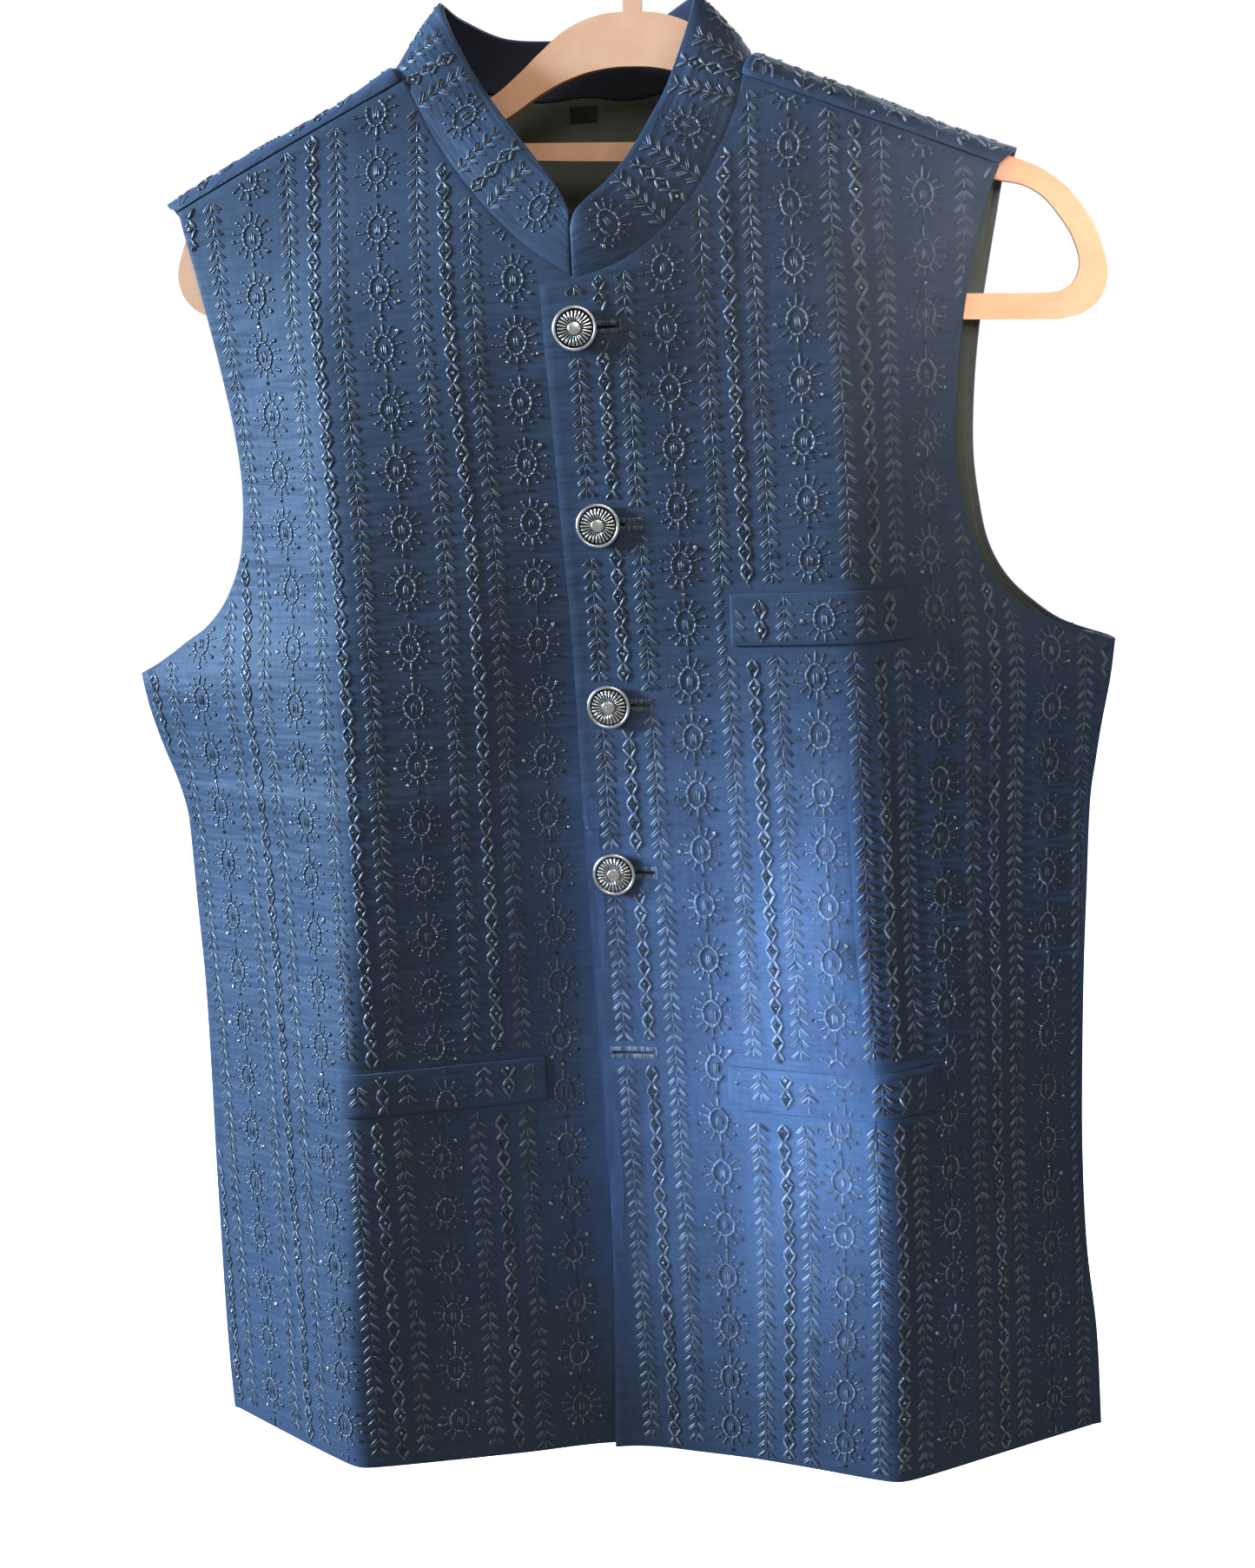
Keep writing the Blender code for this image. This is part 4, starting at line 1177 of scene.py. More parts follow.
class Needle:
    """Gathers stitches over many strips and makes one mesh of them."""

    def __init__(self, seed: int) -> None:
        """Start with nothing sewn.

        Args:
            seed: start of the small differences between stitches.
        """
        self.chance = np.random.default_rng(seed)
        self.found: list[Array] = []

    def sew(self, strip: Strip, pattern: Sequence[Stitch], starts: Array, margin: float = 1.4,
            loose: float = 0.12) -> None:
        """Lay a pattern at each start down a strip, clear of the cloth's edges."""
        if not len(starts) or not len(pattern):
            return
        rows = np.array(pattern, float)
        many = np.tile(rows, (len(starts), 1))
        many[:, 1] += np.repeat(starts, len(rows))
        count = len(many)
        many[:, 0] += self.chance.normal(0, loose, count)
        many[:, 1] += self.chance.normal(0, loose, count)
        many[:, 2] += self.chance.normal(0, 0.05, count)
        many[:, 3:5] *= self.chance.normal(1.0, 0.05, (count, 2))
        place, over, down, out, room = strip.at(many[:, 0], many[:, 1])
        inside = (many[:, 1] > strip.run[0]) & (many[:, 1] < strip.run[-1])
        keep = (room > margin + 0.35 * many[:, 3]) & inside
        along = unit(over * np.cos(many[:, 2])[:, None] + down * np.sin(many[:, 2])[:, None])
        tone = self.chance.random(count)
        self.found.append(np.concatenate([place, along, out, many[:, 3:6], tone[:, None]], axis=1)[keep])

    def studs(self, strip: Strip, spots: Sequence[tuple[float, float, float]], starts: Array,
              height: float, tilt: float, margin: float = 2.0, share: float = 1.0) -> None:
        """Lay round beads or sequins at each start down a strip, each a little askew."""
        if not len(starts):
            return
        rows = np.array(spots, float)
        many = np.tile(rows, (len(starts), 1))
        many[:, 1] += np.repeat(starts, len(rows))
        count = len(many)
        many[:, :2] += self.chance.normal(0, 0.18, (count, 2))
        place, over, down, out, room = strip.at(many[:, 0], many[:, 1])
        inside = (many[:, 1] > strip.run[0]) & (many[:, 1] < strip.run[-1])
        keep = (room > margin) & inside & (self.chance.random(count) < share)
        lean = self.chance.normal(0, tilt, (count, 2))
        out = unit(out + over * lean[:, :1] + down * lean[:, 1:])
        along = unit(over - out * (over * out).sum(axis=1, keepdims=True))
        size = np.stack([many[:, 2] * 2, many[:, 2] * 2, np.full(count, height)], axis=1)
        tone = self.chance.random(count)
        self.found.append(np.concatenate([place, along, out, size, tone[:, None]], axis=1)[keep])

    def gather(self, name: str, shape: bpy.types.Mesh, sink: float, finish: bpy.types.Material) -> bpy.types.Object:
        """Make one object of all that was sewn.

        Args:
            name: the object's name.
            shape: one stitch or bead, half a unit in reach each way.
            sink: share of its height that is in the cloth.
            finish: its material.

        Returns:
            The object, at the origin.
        """
        rows = np.concatenate(self.found)
        place, along, out, size, tone = rows[:, :3], rows[:, 3:6], rows[:, 6:9], rows[:, 9:12], rows[:, 12]
        side = np.cross(out, along)
        base = np.empty(len(shape.vertices) * 3)
        shape.vertices.foreach_get("co", base)
        base = base.reshape(-1, 3)
        middle = place + out * (size[:, 2:] * (0.5 - sink))
        verts = (middle[:, None] + base[None, :, :1] * (along * size[:, :1])[:, None]
                 + base[None, :, 1:2] * (side * size[:, 1:2])[:, None]
                 + base[None, :, 2:] * (out * size[:, 2:])[:, None])
        corner = np.empty(len(shape.loops), dtype=np.int64)
        shape.loops.foreach_get("vertex_index", corner)
        sides = np.empty(len(shape.polygons), dtype=np.int64)
        shape.polygons.foreach_get("loop_total", sides)
        count = len(rows)
        corners = (corner[None] + np.arange(count)[:, None] * len(base)).ravel().astype(np.int32)
        totals = np.tile(sides, count)
        starts = np.concatenate([[0], np.cumsum(totals)[:-1]]).astype(np.int32)
        mesh = bpy.data.meshes.new(name)
        mesh.vertices.add(count * len(base))
        mesh.vertices.foreach_set("co", to_world(verts).ravel())
        mesh.loops.add(len(corners))
        mesh.loops.foreach_set("vertex_index", corners)
        mesh.polygons.add(len(totals))
        mesh.polygons.foreach_set("loop_start", starts)
        mesh.update(calc_edges=True)
        layer = mesh.attributes.new("tone", 'FLOAT', 'POINT')
        layer.data.foreach_set("value", np.repeat(tone, len(base)).astype(np.float32))
        log.info("%s: %d stitches or beads, %d triangles", name, count, count * int((sides - 2).sum()))
        return set_out(name, mesh, (finish,))


def stitch_shape() -> bpy.types.Mesh:
    """One stitch: a low rounded grain with its points along X."""
    form = bmesh.new()
    bmesh.ops.create_uvsphere(form, u_segments=5, v_segments=3, radius=0.5)
    bmesh.ops.rotate(form, verts=form.verts, cent=(0, 0, 0), matrix=Matrix.Rotation(math.pi / 2, 3, 'Y'))
    for vert in form.verts:
        vert.co.x = math.copysign(abs(vert.co.x * 2) ** 0.75 / 2, vert.co.x)
    mesh = bpy.data.meshes.new("stitch_shape")
    form.to_mesh(mesh)
    form.free()
    return mesh


def bead_shape(turns: int = 7) -> bpy.types.Mesh:
    """One bead or sequin: a ring with a hole."""
    form = bmesh.new()
    ring = bmesh.ops.create_circle(form, segments=3, radius=0.21,
                                   matrix=Matrix.Translation((0.31, 0, 0)) @ Matrix.Rotation(math.pi / 2, 4, 'X'))
    for vert in ring["verts"]:
        vert.co.z *= 2.3
    bmesh.ops.spin(form, geom=form.verts[:] + form.edges[:], cent=(0, 0, 0), axis=(0, 0, 1), angle=math.tau,
                   steps=turns, use_merge=True)
    bmesh.ops.remove_doubles(form, verts=form.verts, dist=0.0001)
    bmesh.ops.recalc_face_normals(form, faces=form.faces)
    mesh = bpy.data.meshes.new("bead_shape")
    form.to_mesh(mesh)
    form.free()
    return mesh


@dataclass
class Columns:
    """Where the columns of embroidery lie and how they repeat downward."""

    repeat: float                 # a flower to the next
    flower_at: float              # run of one flower's middle
    eye_at: float                 # run of one chain eye's middle
    ferns: tuple[float, float] = (0.195, 0.805)   # share of the way between two chains
    flower: float = 0.5

    def starts(self, strip: Strip, first: float, pitch: float) -> Array:
        """Runs of every repeat on a strip."""
        low = math.ceil((strip.run[0] - first) / pitch)
        high = math.floor((strip.run[-1] - first) / pitch)
        return first + pitch * np.arange(low, high + 1)


@dataclass
class Embroidery:
    """All the embroidery on one panel."""

    name: str
    columns: Columns
    detail: Detail
    seed: int
    chains: list[Strip] = field(default_factory=list)
    leaves: list[Strip] = field(default_factory=list)
    flowers: list[Strip] = field(default_factory=list)

    def build(self, threads: bpy.types.Material, silver: bpy.types.Material,
              dark: bpy.types.Material, extra: Sequence[tuple[Strip, list[Stitch], Array]] = ()) -> list[bpy.types.Object]:
        """Sew the panel.

        Args:
            threads: finish of the thread.
            silver: finish of the beads.
            dark: finish of the sequins.
            extra: further patterns with their strips and starts.

        Returns:
            The objects made.
        """
        c = self.columns
        fern_needle, needle, beads, discs = (Needle(self.seed + i) for i in range(4))
        for strip in self.leaves:
            fern_needle.sew(strip, fern(self.detail), c.starts(strip, c.flower_at, c.repeat / 5))
        for strip in self.chains:
            at = c.starts(strip, c.eye_at, c.repeat / 3)
            needle.sew(strip, eye(self.detail, c.repeat / 3), at)
            beads.studs(strip, EYE_BEADS, at, 1.0, 0.22, share=0.3)
            discs.studs(strip, EYE_SEQUINS, at, 0.6, 0.10)
        for strip in self.flowers:
            at = c.starts(strip, c.flower_at, c.repeat)
            needle.sew(strip, flower(self.detail), at)
            beads.studs(strip, FLOWER_BEADS, at, 0.9, 0.3, share=0.22)
            discs.studs(strip, FLOWER_SEQUINS, at, 0.6, 0.25)
        for strip, pattern, at in extra:
            needle.sew(strip, pattern, at, 0.0, 0.03)
        grain, ring = stitch_shape(), bead_shape()
        made = [fern_needle.gather(self.name + "_ferns", grain, 0.35, threads),
                needle.gather(self.name + "_flowers", grain, 0.3, threads),
                beads.gather(self.name + "_beads", ring, 0.1, silver),
                discs.gather(self.name + "_sequins", ring, 0.1, dark)]
        return made


# ---------------------------------------------------------------- panels

@dataclass
class Finishes:
    """The materials, made once."""

    cloth: bpy.types.Material = field(default_factory=CLOTH_FINISH.build)
    lining: bpy.types.Material = field(default_factory=LINING_FINISH.build)
    band: bpy.types.Material = field(default_factory=BAND_FINISH.build)
    tab: bpy.types.Material = field(default_factory=TAB_FINISH.build)
    thread: bpy.types.Material = field(default_factory=THREAD_FINISH.build)
    plastic: bpy.types.Material = field(default_factory=PLASTIC_FINISH.build)
    wire: bpy.types.Material = field(default_factory=WIRE_FINISH.build)
    silver: bpy.types.Material = field(default_factory=SILVER_FINISH.build)
    recess: bpy.types.Material = field(default_factory=RECESS_FINISH.build)
    sequin: bpy.types.Material = field(default_factory=SEQUIN_FINISH.build)


OFFSETS = np.arange(-15.0, 15.1, 2.5)


@dataclass
class Front:
    """One front with its embroidery, in columns that follow its grain."""

    side: Side
    name: str
    chain_downs: tuple[float, ...]
    chain_arcs: tuple[tuple[float, ...], ...]      # outward arc of each chain at those levels
    columns: Columns
    seed: int
    grid: Array = field(init=False)

    def __post_init__(self) -> None:
        """Work out the grid and the level lattice."""
        self.grid = front_grid(self.side)
        self.downs = np.arange(-6.0, 690.0, 3.5)
        self.acrosses = np.arange(-24.0, 262.0, 3.0) * self.side
        wide = front_point(self.side, self.acrosses[None, :], self.downs[:, None])
        run = lengths(wide, 1)
        zero = int(np.argmin(np.abs(self.acrosses)))
        self.arcs = run - run[:, zero:zero + 1]

    def outline(self) -> Array:
        """The panel's edge in across and down."""
        g = self.grid
        edge = np.concatenate([g[::3, 0], g[-1, 3::4], g[::-3, -1], g[0, ::-4]])
        return np.stack([edge[:, 0], -edge[:, 2]], axis=-1)

    def strip(self, arcs: Array, blocks: Sequence[tuple[float, float, float, float]], face: float) -> Strip:
        """The cloth beside a column.

        Args:
            arcs: the column's outward arc at each level.
            blocks: rectangles that are kept clear: across from, to, down from, to.
            face: how far the cloth's face stands off the grid.

        Returns:
            The strip, whose run is 150 at down 150.
        """
        rows = len(self.downs)
        across = np.empty((rows, len(OFFSETS)))
        for i in range(rows):
            want = arcs[i] + OFFSETS * self.side
            across[i] = np.interp(want, self.arcs[i], self.acrosses * self.side) * self.side
        downs = np.broadcast_to(self.downs[:, None], across.shape)
        places = front_point(self.side, across, downs)
        middle = lengths(places[:, len(OFFSETS) // 2], 0)
        run = middle - np.interp(150.0, self.downs, middle) + 150.0
        room = inside_by(self.outline(), across, downs)
        for x0, x1, y0, y1 in blocks:
            clear = np.maximum(np.maximum(x0 - across, across - x1), np.maximum(y0 - downs, downs - y1))
            room = np.minimum(room, clear)
        made = Strip(places, run, OFFSETS, room, 1.0)
        made.places = places + made.out * face
        return made

    def arc_of(self, p: float) -> Array:
        """Outward arc of a pattern line at each level, by its place among the chains."""
        low = min(int(p), len(self.chain_arcs[0]) - 2)
        table = np.array(self.chain_arcs)
        line = mix(table[:, low], table[:, low + 1], p - low)
        return curve(np.array(self.chain_downs), line, self.downs)

    def blocks(self) -> list[tuple[float, float, float, float]]:
        """What the embroidery keeps clear of."""
        made = []
        for welt in WELTS:
            if welt.side == self.side:
                x = sorted((welt.inner * self.side, welt.outer * self.side))
                made.append((x[0] - 0.8, x[1] + 0.8, welt.top - 0.6, welt.bottom + welt.outer_drop + 0.6))
        if self.side == LEFT:
            for spec in BUTTONS:
                made.append((spec.across - 9.5, spec.across + 9.5, spec.down - 9.5, spec.down + 9.5))
                made.append((spec.across, spec.across + 22.0, spec.down - 2.6, spec.down + 2.6))
            x, y = BARE_SLOT
            made.append((x - 12.5, x + 12.5, y - 3.4, y + 3.4))
        else:
            made.append((-13.0, 40.0, 96.0, 720.0))
        return made

    def build(self, finishes: Finishes) -> bpy.types.Object:
        """Make the front and its embroidery.

        Returns:
            The front's object.
        """
        facing = 1
        sheet = Sheet(self.name + "_cloth", self.name, self.grid, CLOTH, finishes.cloth, finishes.lining,
                      facing=facing)
        cloth = sheet.build()
        chains = len(self.chain_arcs[0])
        blocks = self.blocks()
        work = Embroidery(self.name, self.columns, Detail.FULL, self.seed)
        face = sheet.surface()
        for k in range(chains):
            if k < chains - 1:
                work.flowers.append(self.strip(self.arc_of(k + self.columns.flower), blocks, face))
                work.leaves += [self.strip(self.arc_of(k + share), blocks, face) for share in self.columns.ferns]
            work.chains.append(self.strip(self.arc_of(float(k)), blocks, face))
        first = self.columns.ferns[1] - 1.0
        table = np.array(self.chain_arcs)
        inner = curve(np.array(self.chain_downs), table[:, 0] + first * (table[:, 1] - table[:, 0]), self.downs)
        work.leaves.append(self.strip(inner, blocks, face))
        extra = []
        if self.side == LEFT:
            for across, down in [(b.across + SLOT_LONG / 2 - SLOT_INSET, b.down) for b in BUTTONS] + [BARE_SLOT]:
                extra.append(self.buttonhole(across, down, face))
            self.cut_slots(cloth)
        made = work.build(finishes.thread, finishes.silver, finishes.sequin, extra)
        wide, long, area = cut_size(self.grid)
        log.info("%s: cut %.3f by %.3f m", self.name, wide, long)
        return cloth

    def buttonhole(self, across: float, down: float, face: float) -> tuple[Strip, list[Stitch], Array]:
        """The whipped edge of a buttonhole: its strip, stitches and start."""
        arcs = np.array([np.interp(across * self.side, self.acrosses * self.side, row) for row in self.arcs])
        strip = self.strip(arcs, (), face)
        made: list[Stitch] = []
        half = SLOT_LONG / 2 - 0.8
        for step in range(27):
            x = -half + 2 * half * step / 26
            made.append(stroke(x, -3.3, x + 0.1, -0.55, 0.85, 0.55))
            made.append(stroke(x, 0.55, x + 0.1, 3.2, 0.85, 0.5))
        for x in (-half - 0.6, half + 0.6):
            made += [stroke(x - 0.2, y, x + 0.9, y + 0.1, 0.8, 0.6) for y in (-2.6, -1.7, -0.8, 0.1, 1.0, 1.9, 2.7)]
        start = float(np.interp(down, self.downs, strip.run))
        return strip, made, np.array([start])

    def cut_slots(self, cloth: bpy.types.Object) -> None:
        """Cut the five buttonholes through the front."""
        form = bmesh.new()
        for across, down in [(b.across + SLOT_LONG / 2 - SLOT_INSET, b.down) for b in BUTTONS] + [BARE_SLOT]:
            turn, here = cloth_turn(self.side, across, down, 0.0)
            size = Matrix.Diagonal(((SLOT_LONG - 2.6) * MM, 1.1 * MM, 4 * CLOTH * MM, 1.0))
            bmesh.ops.create_cube(form, size=1.0, matrix=here @ turn @ size)
        mesh = bpy.data.meshes.new("slot_cutter")
        form.to_mesh(mesh)
        form.free()
        cutter = bpy.data.objects.new("slot_cutter", mesh)
        bpy.context.scene.collection.objects.link(cutter)
        slots = cloth.modifiers.new("slots", 'BOOLEAN')
        slots.object, slots.operation, slots.solver = cutter, 'DIFFERENCE', 'EXACT'
        bpy.context.view_layer.update()
        done = bpy.data.meshes.new_from_object(cloth.evaluated_get(bpy.context.evaluated_depsgraph_get()))
        cloth.modifiers.clear()
        cloth.data = done
        bpy.data.objects.remove(cutter, do_unlink=True)


def cloth_turn(side: Side, across: float, down: float, off: float) -> tuple[Matrix, Matrix]:
    """Facing of a spot on a front and its place, both in the object's frame.

    Args:
        side: which front.
        across: the spot.
        down: the spot's level.
        off: how far it stands off the middle of the cloth.

    Returns:
        A turn whose Z leaves the cloth, and a move to the spot.
    """
    reach = 4.0
    ring = to_world(front_point(side, np.array([across, across + reach, across - reach, across, across]),
                                np.array([down, down, down, down - reach, down + reach])))
    over, up = Vector(ring[1] - ring[2]), Vector(ring[3] - ring[4])
    out = over.cross(up).normalized()
    over.normalize()
    turn = Matrix((over, out.cross(over), out)).transposed().to_4x4()
    return turn, Matrix.Translation(Vector(ring[0]) + out * off * MM)


@dataclass
class Back:
    """The back with the tops of its shoulders, and its lining."""

    columns: Columns
    seed: int = 40
    pitch: float = 59.2
    fine_down: int = 5
    fine_across: int = 4
    coarse: Array = field(init=False)
    grid: Array = field(init=False)

    def __post_init__(self) -> None:
        """Work out the fine grid."""
        self.coarse = back_grid()
        self.corner = ROLL_ROWS + len(BACK_ROWS) + 1
        neck = len(BACK_NECK) - 1
        self.turns = (WING_STEPS, WING_STEPS + 2 * neck)
        self.grid = refine(self.coarse, self.corner, self.fine_down, self.fine_across, self.turns)

    def neck_columns(self) -> tuple[int, int]:
        """The fine grid's columns at the right and the left neck corner."""
        return self.turns[0] * self.fine_across, self.turns[1] * self.fine_across

    def strip(self, across: float, face: float) -> Strip:
        """The cloth beside a column at a place across."""
        g = self.grid
        rows = len(g)
        places = np.empty((rows, len(OFFSETS), 3))
        room = np.empty((rows, len(OFFSETS)))
        want = across + OFFSETS
        for i in range(rows):
            x = g[i, :, 0]
            for axis in range(3):
                places[i, :, axis] = np.interp(want, x, g[i, :, axis])
            room[i] = np.minimum(want - x[0], x[-1] - want)
        middle = lengths(places[:, len(OFFSETS) // 2], 0)
        run = middle - middle[-1] + 690.0
        ends = np.minimum(middle, middle[-1] - middle)
        room = np.minimum(room, ends[:, None])
        made = Strip(places, run, OFFSETS, room, -1.0)
        made.places = places + made.out * face
        return made

    def build(self, finishes: Finishes) -> bpy.types.Object:
        """Make the back, its embroidery, its lining and the size tab.

        Returns:
            The back's object.
        """
        sheet = Sheet("back_cloth", "back", self.grid, CLOTH, finishes.cloth, finishes.lining, facing=-1, grain=Grain.HEM)
        cloth = sheet.build()
        work = Embroidery("back", self.columns, Detail.PLAIN, self.seed)
        face = sheet.surface()
        for k in range(-4, 4):
            work.chains.append(self.strip(k * self.pitch, face))
            work.flowers.append(self.strip((k + self.columns.flower) * self.pitch, face))
            work.leaves += [self.strip((k + share) * self.pitch, face) for share in self.columns.ferns]
        made = work.build(finishes.thread, finishes.silver, finishes.sequin)
        wide, long, area = cut_size(self.grid)
        log.info("back: cut %.3f by %.3f m", wide, long)
        self.lining(finishes, self.tab(finishes))
        return cloth

    def lining(self, finishes: Finishes, tab: bpy.types.Object) -> None:
        """The back's lining; the size tab lies on its inner face."""
        grid = refine(trimmed(self.coarse, LINING_INSET, LINING_RISE), self.corner, 4, 3, self.turns)
        off = CLOTH / 2 + LINING_GAP + LINING / 2
        made = Sheet("back_lining", "lining_back", grid, LINING, finishes.lining, finishes.lining, -off, -1, 0.25,
                     Grain.HEM).build()
        wide, long, area = cut_size(grid)
        log.info("lining: cut %.3f by %.3f m", wide, long)

    def tab(self, finishes: Finishes) -> bpy.types.Object:
        """The bare size tab below the collar."""
        left, right, top, bottom = TAB_AT
        across, down = np.meshgrid(np.linspace(left, right, 9), np.linspace(top, bottom, 7))
        edge = SHOULDER_END[-1].left
        depth = underarm_depth(LEFT) + BACK_ROWS[0].set_back
        grid = point(across, down, back_depth(across, down, edge, depth))
        lift = 0.8 * ((down - top) / (bottom - top)) ** 2
        grid[..., 1] -= lift
        off = CLOTH / 2 + LINING_GAP + LINING + 2 * GAP + TAB / 2
        made = Sheet("size_tape", "size_tab", grid, TAB, finishes.tab, finishes.tab, -off, -1, 0.15).build()
        return made


@dataclass
class Collar:
    """The stand collar: an embroidered outer side and a plain inner side."""

    seam: Array
    columns: Columns
    stations: int = 150
    steps: int = 12
    pitch: float = 59.2
    seed: int = 70

    def build(self, finishes: Finishes) -> None:
        """Make both sides and the embroidery."""
        grid = collar_grid(self.seam, self.stations, self.steps, -0.8)
        sheet = Sheet("collar_cloth", "collar_outer", grid, BAND, finishes.cloth, finishes.band, facing=1,
                      grain=Grain.BAND)
        cloth = sheet.build()
        work = Embroidery("collar", self.columns, Detail.FULL, self.seed)
        run = lengths(grid[:, self.steps // 2], 0)
        centre = run[-1] / 2
        for k in range(-5, 6):
            for share, kind in ((0.0, work.chains), (self.columns.flower, work.flowers),
                                (self.columns.ferns[0], work.leaves), (self.columns.ferns[1], work.leaves)):
                at = centre + (k + share) * self.pitch
                if 4.0 < at < run[-1] - 4.0:
                    kind.append(self.strip(grid, run, at, sheet.surface()))
        made = work.build(finishes.thread, finishes.silver, finishes.sequin)
        wide, long, area = cut_size(grid)
        log.info("collar: cut %.3f by %.3f m", wide, long)
        off = BAND / 2 + 2 * GAP + BAND_INSIDE / 2
        facing = collar_grid(self.seam, self.stations, self.steps, 0.2)
        inner = Sheet("collar_facing", "collar_inner", facing, BAND_INSIDE, finishes.band, finishes.band, -off, 1, 0.3,
                      Grain.BAND).build()

    def strip(self, grid: Array, run: Array, at: float, face: float) -> Strip:
        """The cloth beside a column that crosses the band upward from its seam."""
        want = at - OFFSETS
        places = np.empty((grid.shape[1], len(OFFSETS), 3))
        for j in range(grid.shape[1]):
            for axis in range(3):
                places[j, :, axis] = np.interp(want, run, grid[:, j, axis])
        tall = lengths(places[:, len(OFFSETS) // 2], 0)
        room = np.minimum(tall, tall[-1] - tall)[:, None] * np.ones(len(OFFSETS))
        room = np.minimum(room, np.minimum(want, run[-1] - want)[None, :])
        made = Strip(places, tall, OFFSETS, room, 1.0)
        made.places = places + made.out * face
        return made


@dataclass
class PocketWelt:
    """A pocket welt that lies on a front, with the embroidery of its own cut."""

    spec: Welt
    front: Front
    shift: float                  # its pattern's place against the front's
    seed: int

    def build(self, finishes: Finishes) -> None:
        """Make the welt and its embroidery."""
        spec, side = self.spec, LEFT if self.spec.side > 0 else RIGHT
        t = np.linspace(0, 1, 45)[None, :]
        rise = np.linspace(0, 1, 9)[:, None]
        places = mix(spec.inner, spec.outer, t) + 0 * rise
        downs = mix(spec.top, spec.bottom, rise) + spec.outer_drop * t
        grid = front_point(side, side * places, downs)
        grid = grid if side == LEFT else grid[:, ::-1]
        off = CLOTH / 2 + GAP + WELT / 2
        sheet = Sheet(spec.name + "_cloth", spec.name, grid, WELT, finishes.cloth, finishes.cloth, off, 1)
        cloth = sheet.build()
        outline = np.concatenate([grid[0, ::4], grid[1:, -1], grid[-1, ::-4], grid[::-1, 0][1:]])
        work = Embroidery(spec.name, self.front.columns, Detail.FULL, self.seed)
        front = self.front
        chains = len(front.chain_arcs[0])
        for k in range(chains):
            for share, kind in ((0.0, work.chains), (front.columns.flower, work.flowers),
                                (front.columns.ferns[0], work.leaves), (front.columns.ferns[1], work.leaves)):
                if k + share > chains - 1:
                    continue
                strip = front.strip(front.arc_of(k + share) + self.shift * side, (), sheet.surface())
                strip.room = inside_by(np.stack([outline[:, 0], -outline[:, 2]], -1),
                                       strip.places[..., 0], -strip.places[..., 2])
                kind.append(strip)
        made = work.build(finishes.thread, finishes.silver, finishes.sequin)
        wide, long, area = cut_size(grid)


# ---------------------------------------------------------------- buttons and hanger

@dataclass
class Fastener:
    """A turned metal button with cast ribs, and its shank."""

    spec: Button
    ribs: int = 26
    rim: float = 10.3
    sides: int = 64

    def build(self, finishes: Finishes) -> bpy.types.Object:
        """Make the button in its buttonhole.

        Returns:
            The button's object.
        """
        end = BUTTON_OFF + 2 * LAP - 2 * GAP
        outer = ((8.75, 1.5), (8.8, 2.9), (9.1, 3.25), (9.6, 3.3), (10.05, 3.0), (10.3, 2.4), (10.25, 1.7),
                 (9.6, 0.6), (8.6, 0.0), (SHANK + 0.2, 0.0), (SHANK, -0.2), (SHANK, -end), (0.0, -end))
        middle = ((0.0, 4.0), (2.45, 4.0), (2.85, 3.85), (3.05, 3.4), (3.1, 1.5))
        floor = ((3.1, 1.5), (5.5, 1.4), (8.75, 1.5))
        form = bmesh.new()
        for profile, index in ((outer, 0), (middle, 0), (floor, 1)):
            self.turn(form, profile, index)
        self.add_ribs(form)
        bmesh.ops.remove_doubles(form, verts=form.verts, dist=0.00001)
        turn, here = cloth_turn(LEFT, self.spec.across, self.spec.down, CLOTH / 2 + BUTTON_OFF)
        bmesh.ops.transform(form, matrix=here @ turn @ Matrix.Scale(MM, 4), verts=form.verts)
        made = set_down(self.spec.name + "_metal", form, (finishes.silver, finishes.recess))
        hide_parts(self.spec.name)
        return made

    def turn(self, form: bmesh.types.BMesh, profile: Sequence[tuple[float, float]], index: int) -> None:
        """Turn a half profile round the button's middle."""
        corners = [form.verts.new((radius, 0.0, height)) for radius, height in profile]
        edges = [form.edges.new(pair) for pair in zip(corners, corners[1:])]
        before = set(form.faces)
        bmesh.ops.spin(form, geom=corners + edges, cent=(0, 0, 0), axis=(0, 0, 1), angle=math.tau,
                       steps=self.sides, use_merge=True)
        fresh = [face for face in form.faces if face not in before]
        for face in fresh:
            face.material_index = index
        bmesh.ops.recalc_face_normals(form, faces=fresh)
        if index == 0 and profile[0][0] == 0.0 or index == 1:
            up = sum(face.normal.z * face.calc_area() for face in fresh)
            if up < 0:
                bmesh.ops.reverse_faces(form, faces=fresh)

    def add_ribs(self, form: bmesh.types.BMesh) -> None:
        """Cast ribs between the middle and the groove, each wider outward."""
        for step in range(self.ribs):
            cube = bmesh.ops.create_cube(form, size=1.0, matrix=Matrix.Diagonal((4.5, 1.0, 2.0, 1.0)))
            verts = cube["verts"]
            for vert in verts:
                far = vert.co.x > 0
                vert.co.y *= 1.0 if far else 0.36
                if vert.co.z > 0:
                    vert.co.z -= 0.45 if far else 0.05
            edges = {edge for vert in verts for edge in vert.link_edges}
            bent = bmesh.ops.bevel(form, geom=[e for e in edges if e.verts[0].co.z > 0 and e.verts[1].co.z > 0],
                                   offset=0.22, offset_type='OFFSET', segments=2, profile=0.5, affect='EDGES',
                                   material=-1)
            every = {v for f in bent["faces"] for v in f.verts} | {v for v in verts if v.is_valid}
            move = Matrix.Rotation(math.tau * step / self.ribs, 4, 'Z') @ Matrix.Translation((5.65, 0.0, 2.4))
            bmesh.ops.transform(form, matrix=move, verts=list(every))


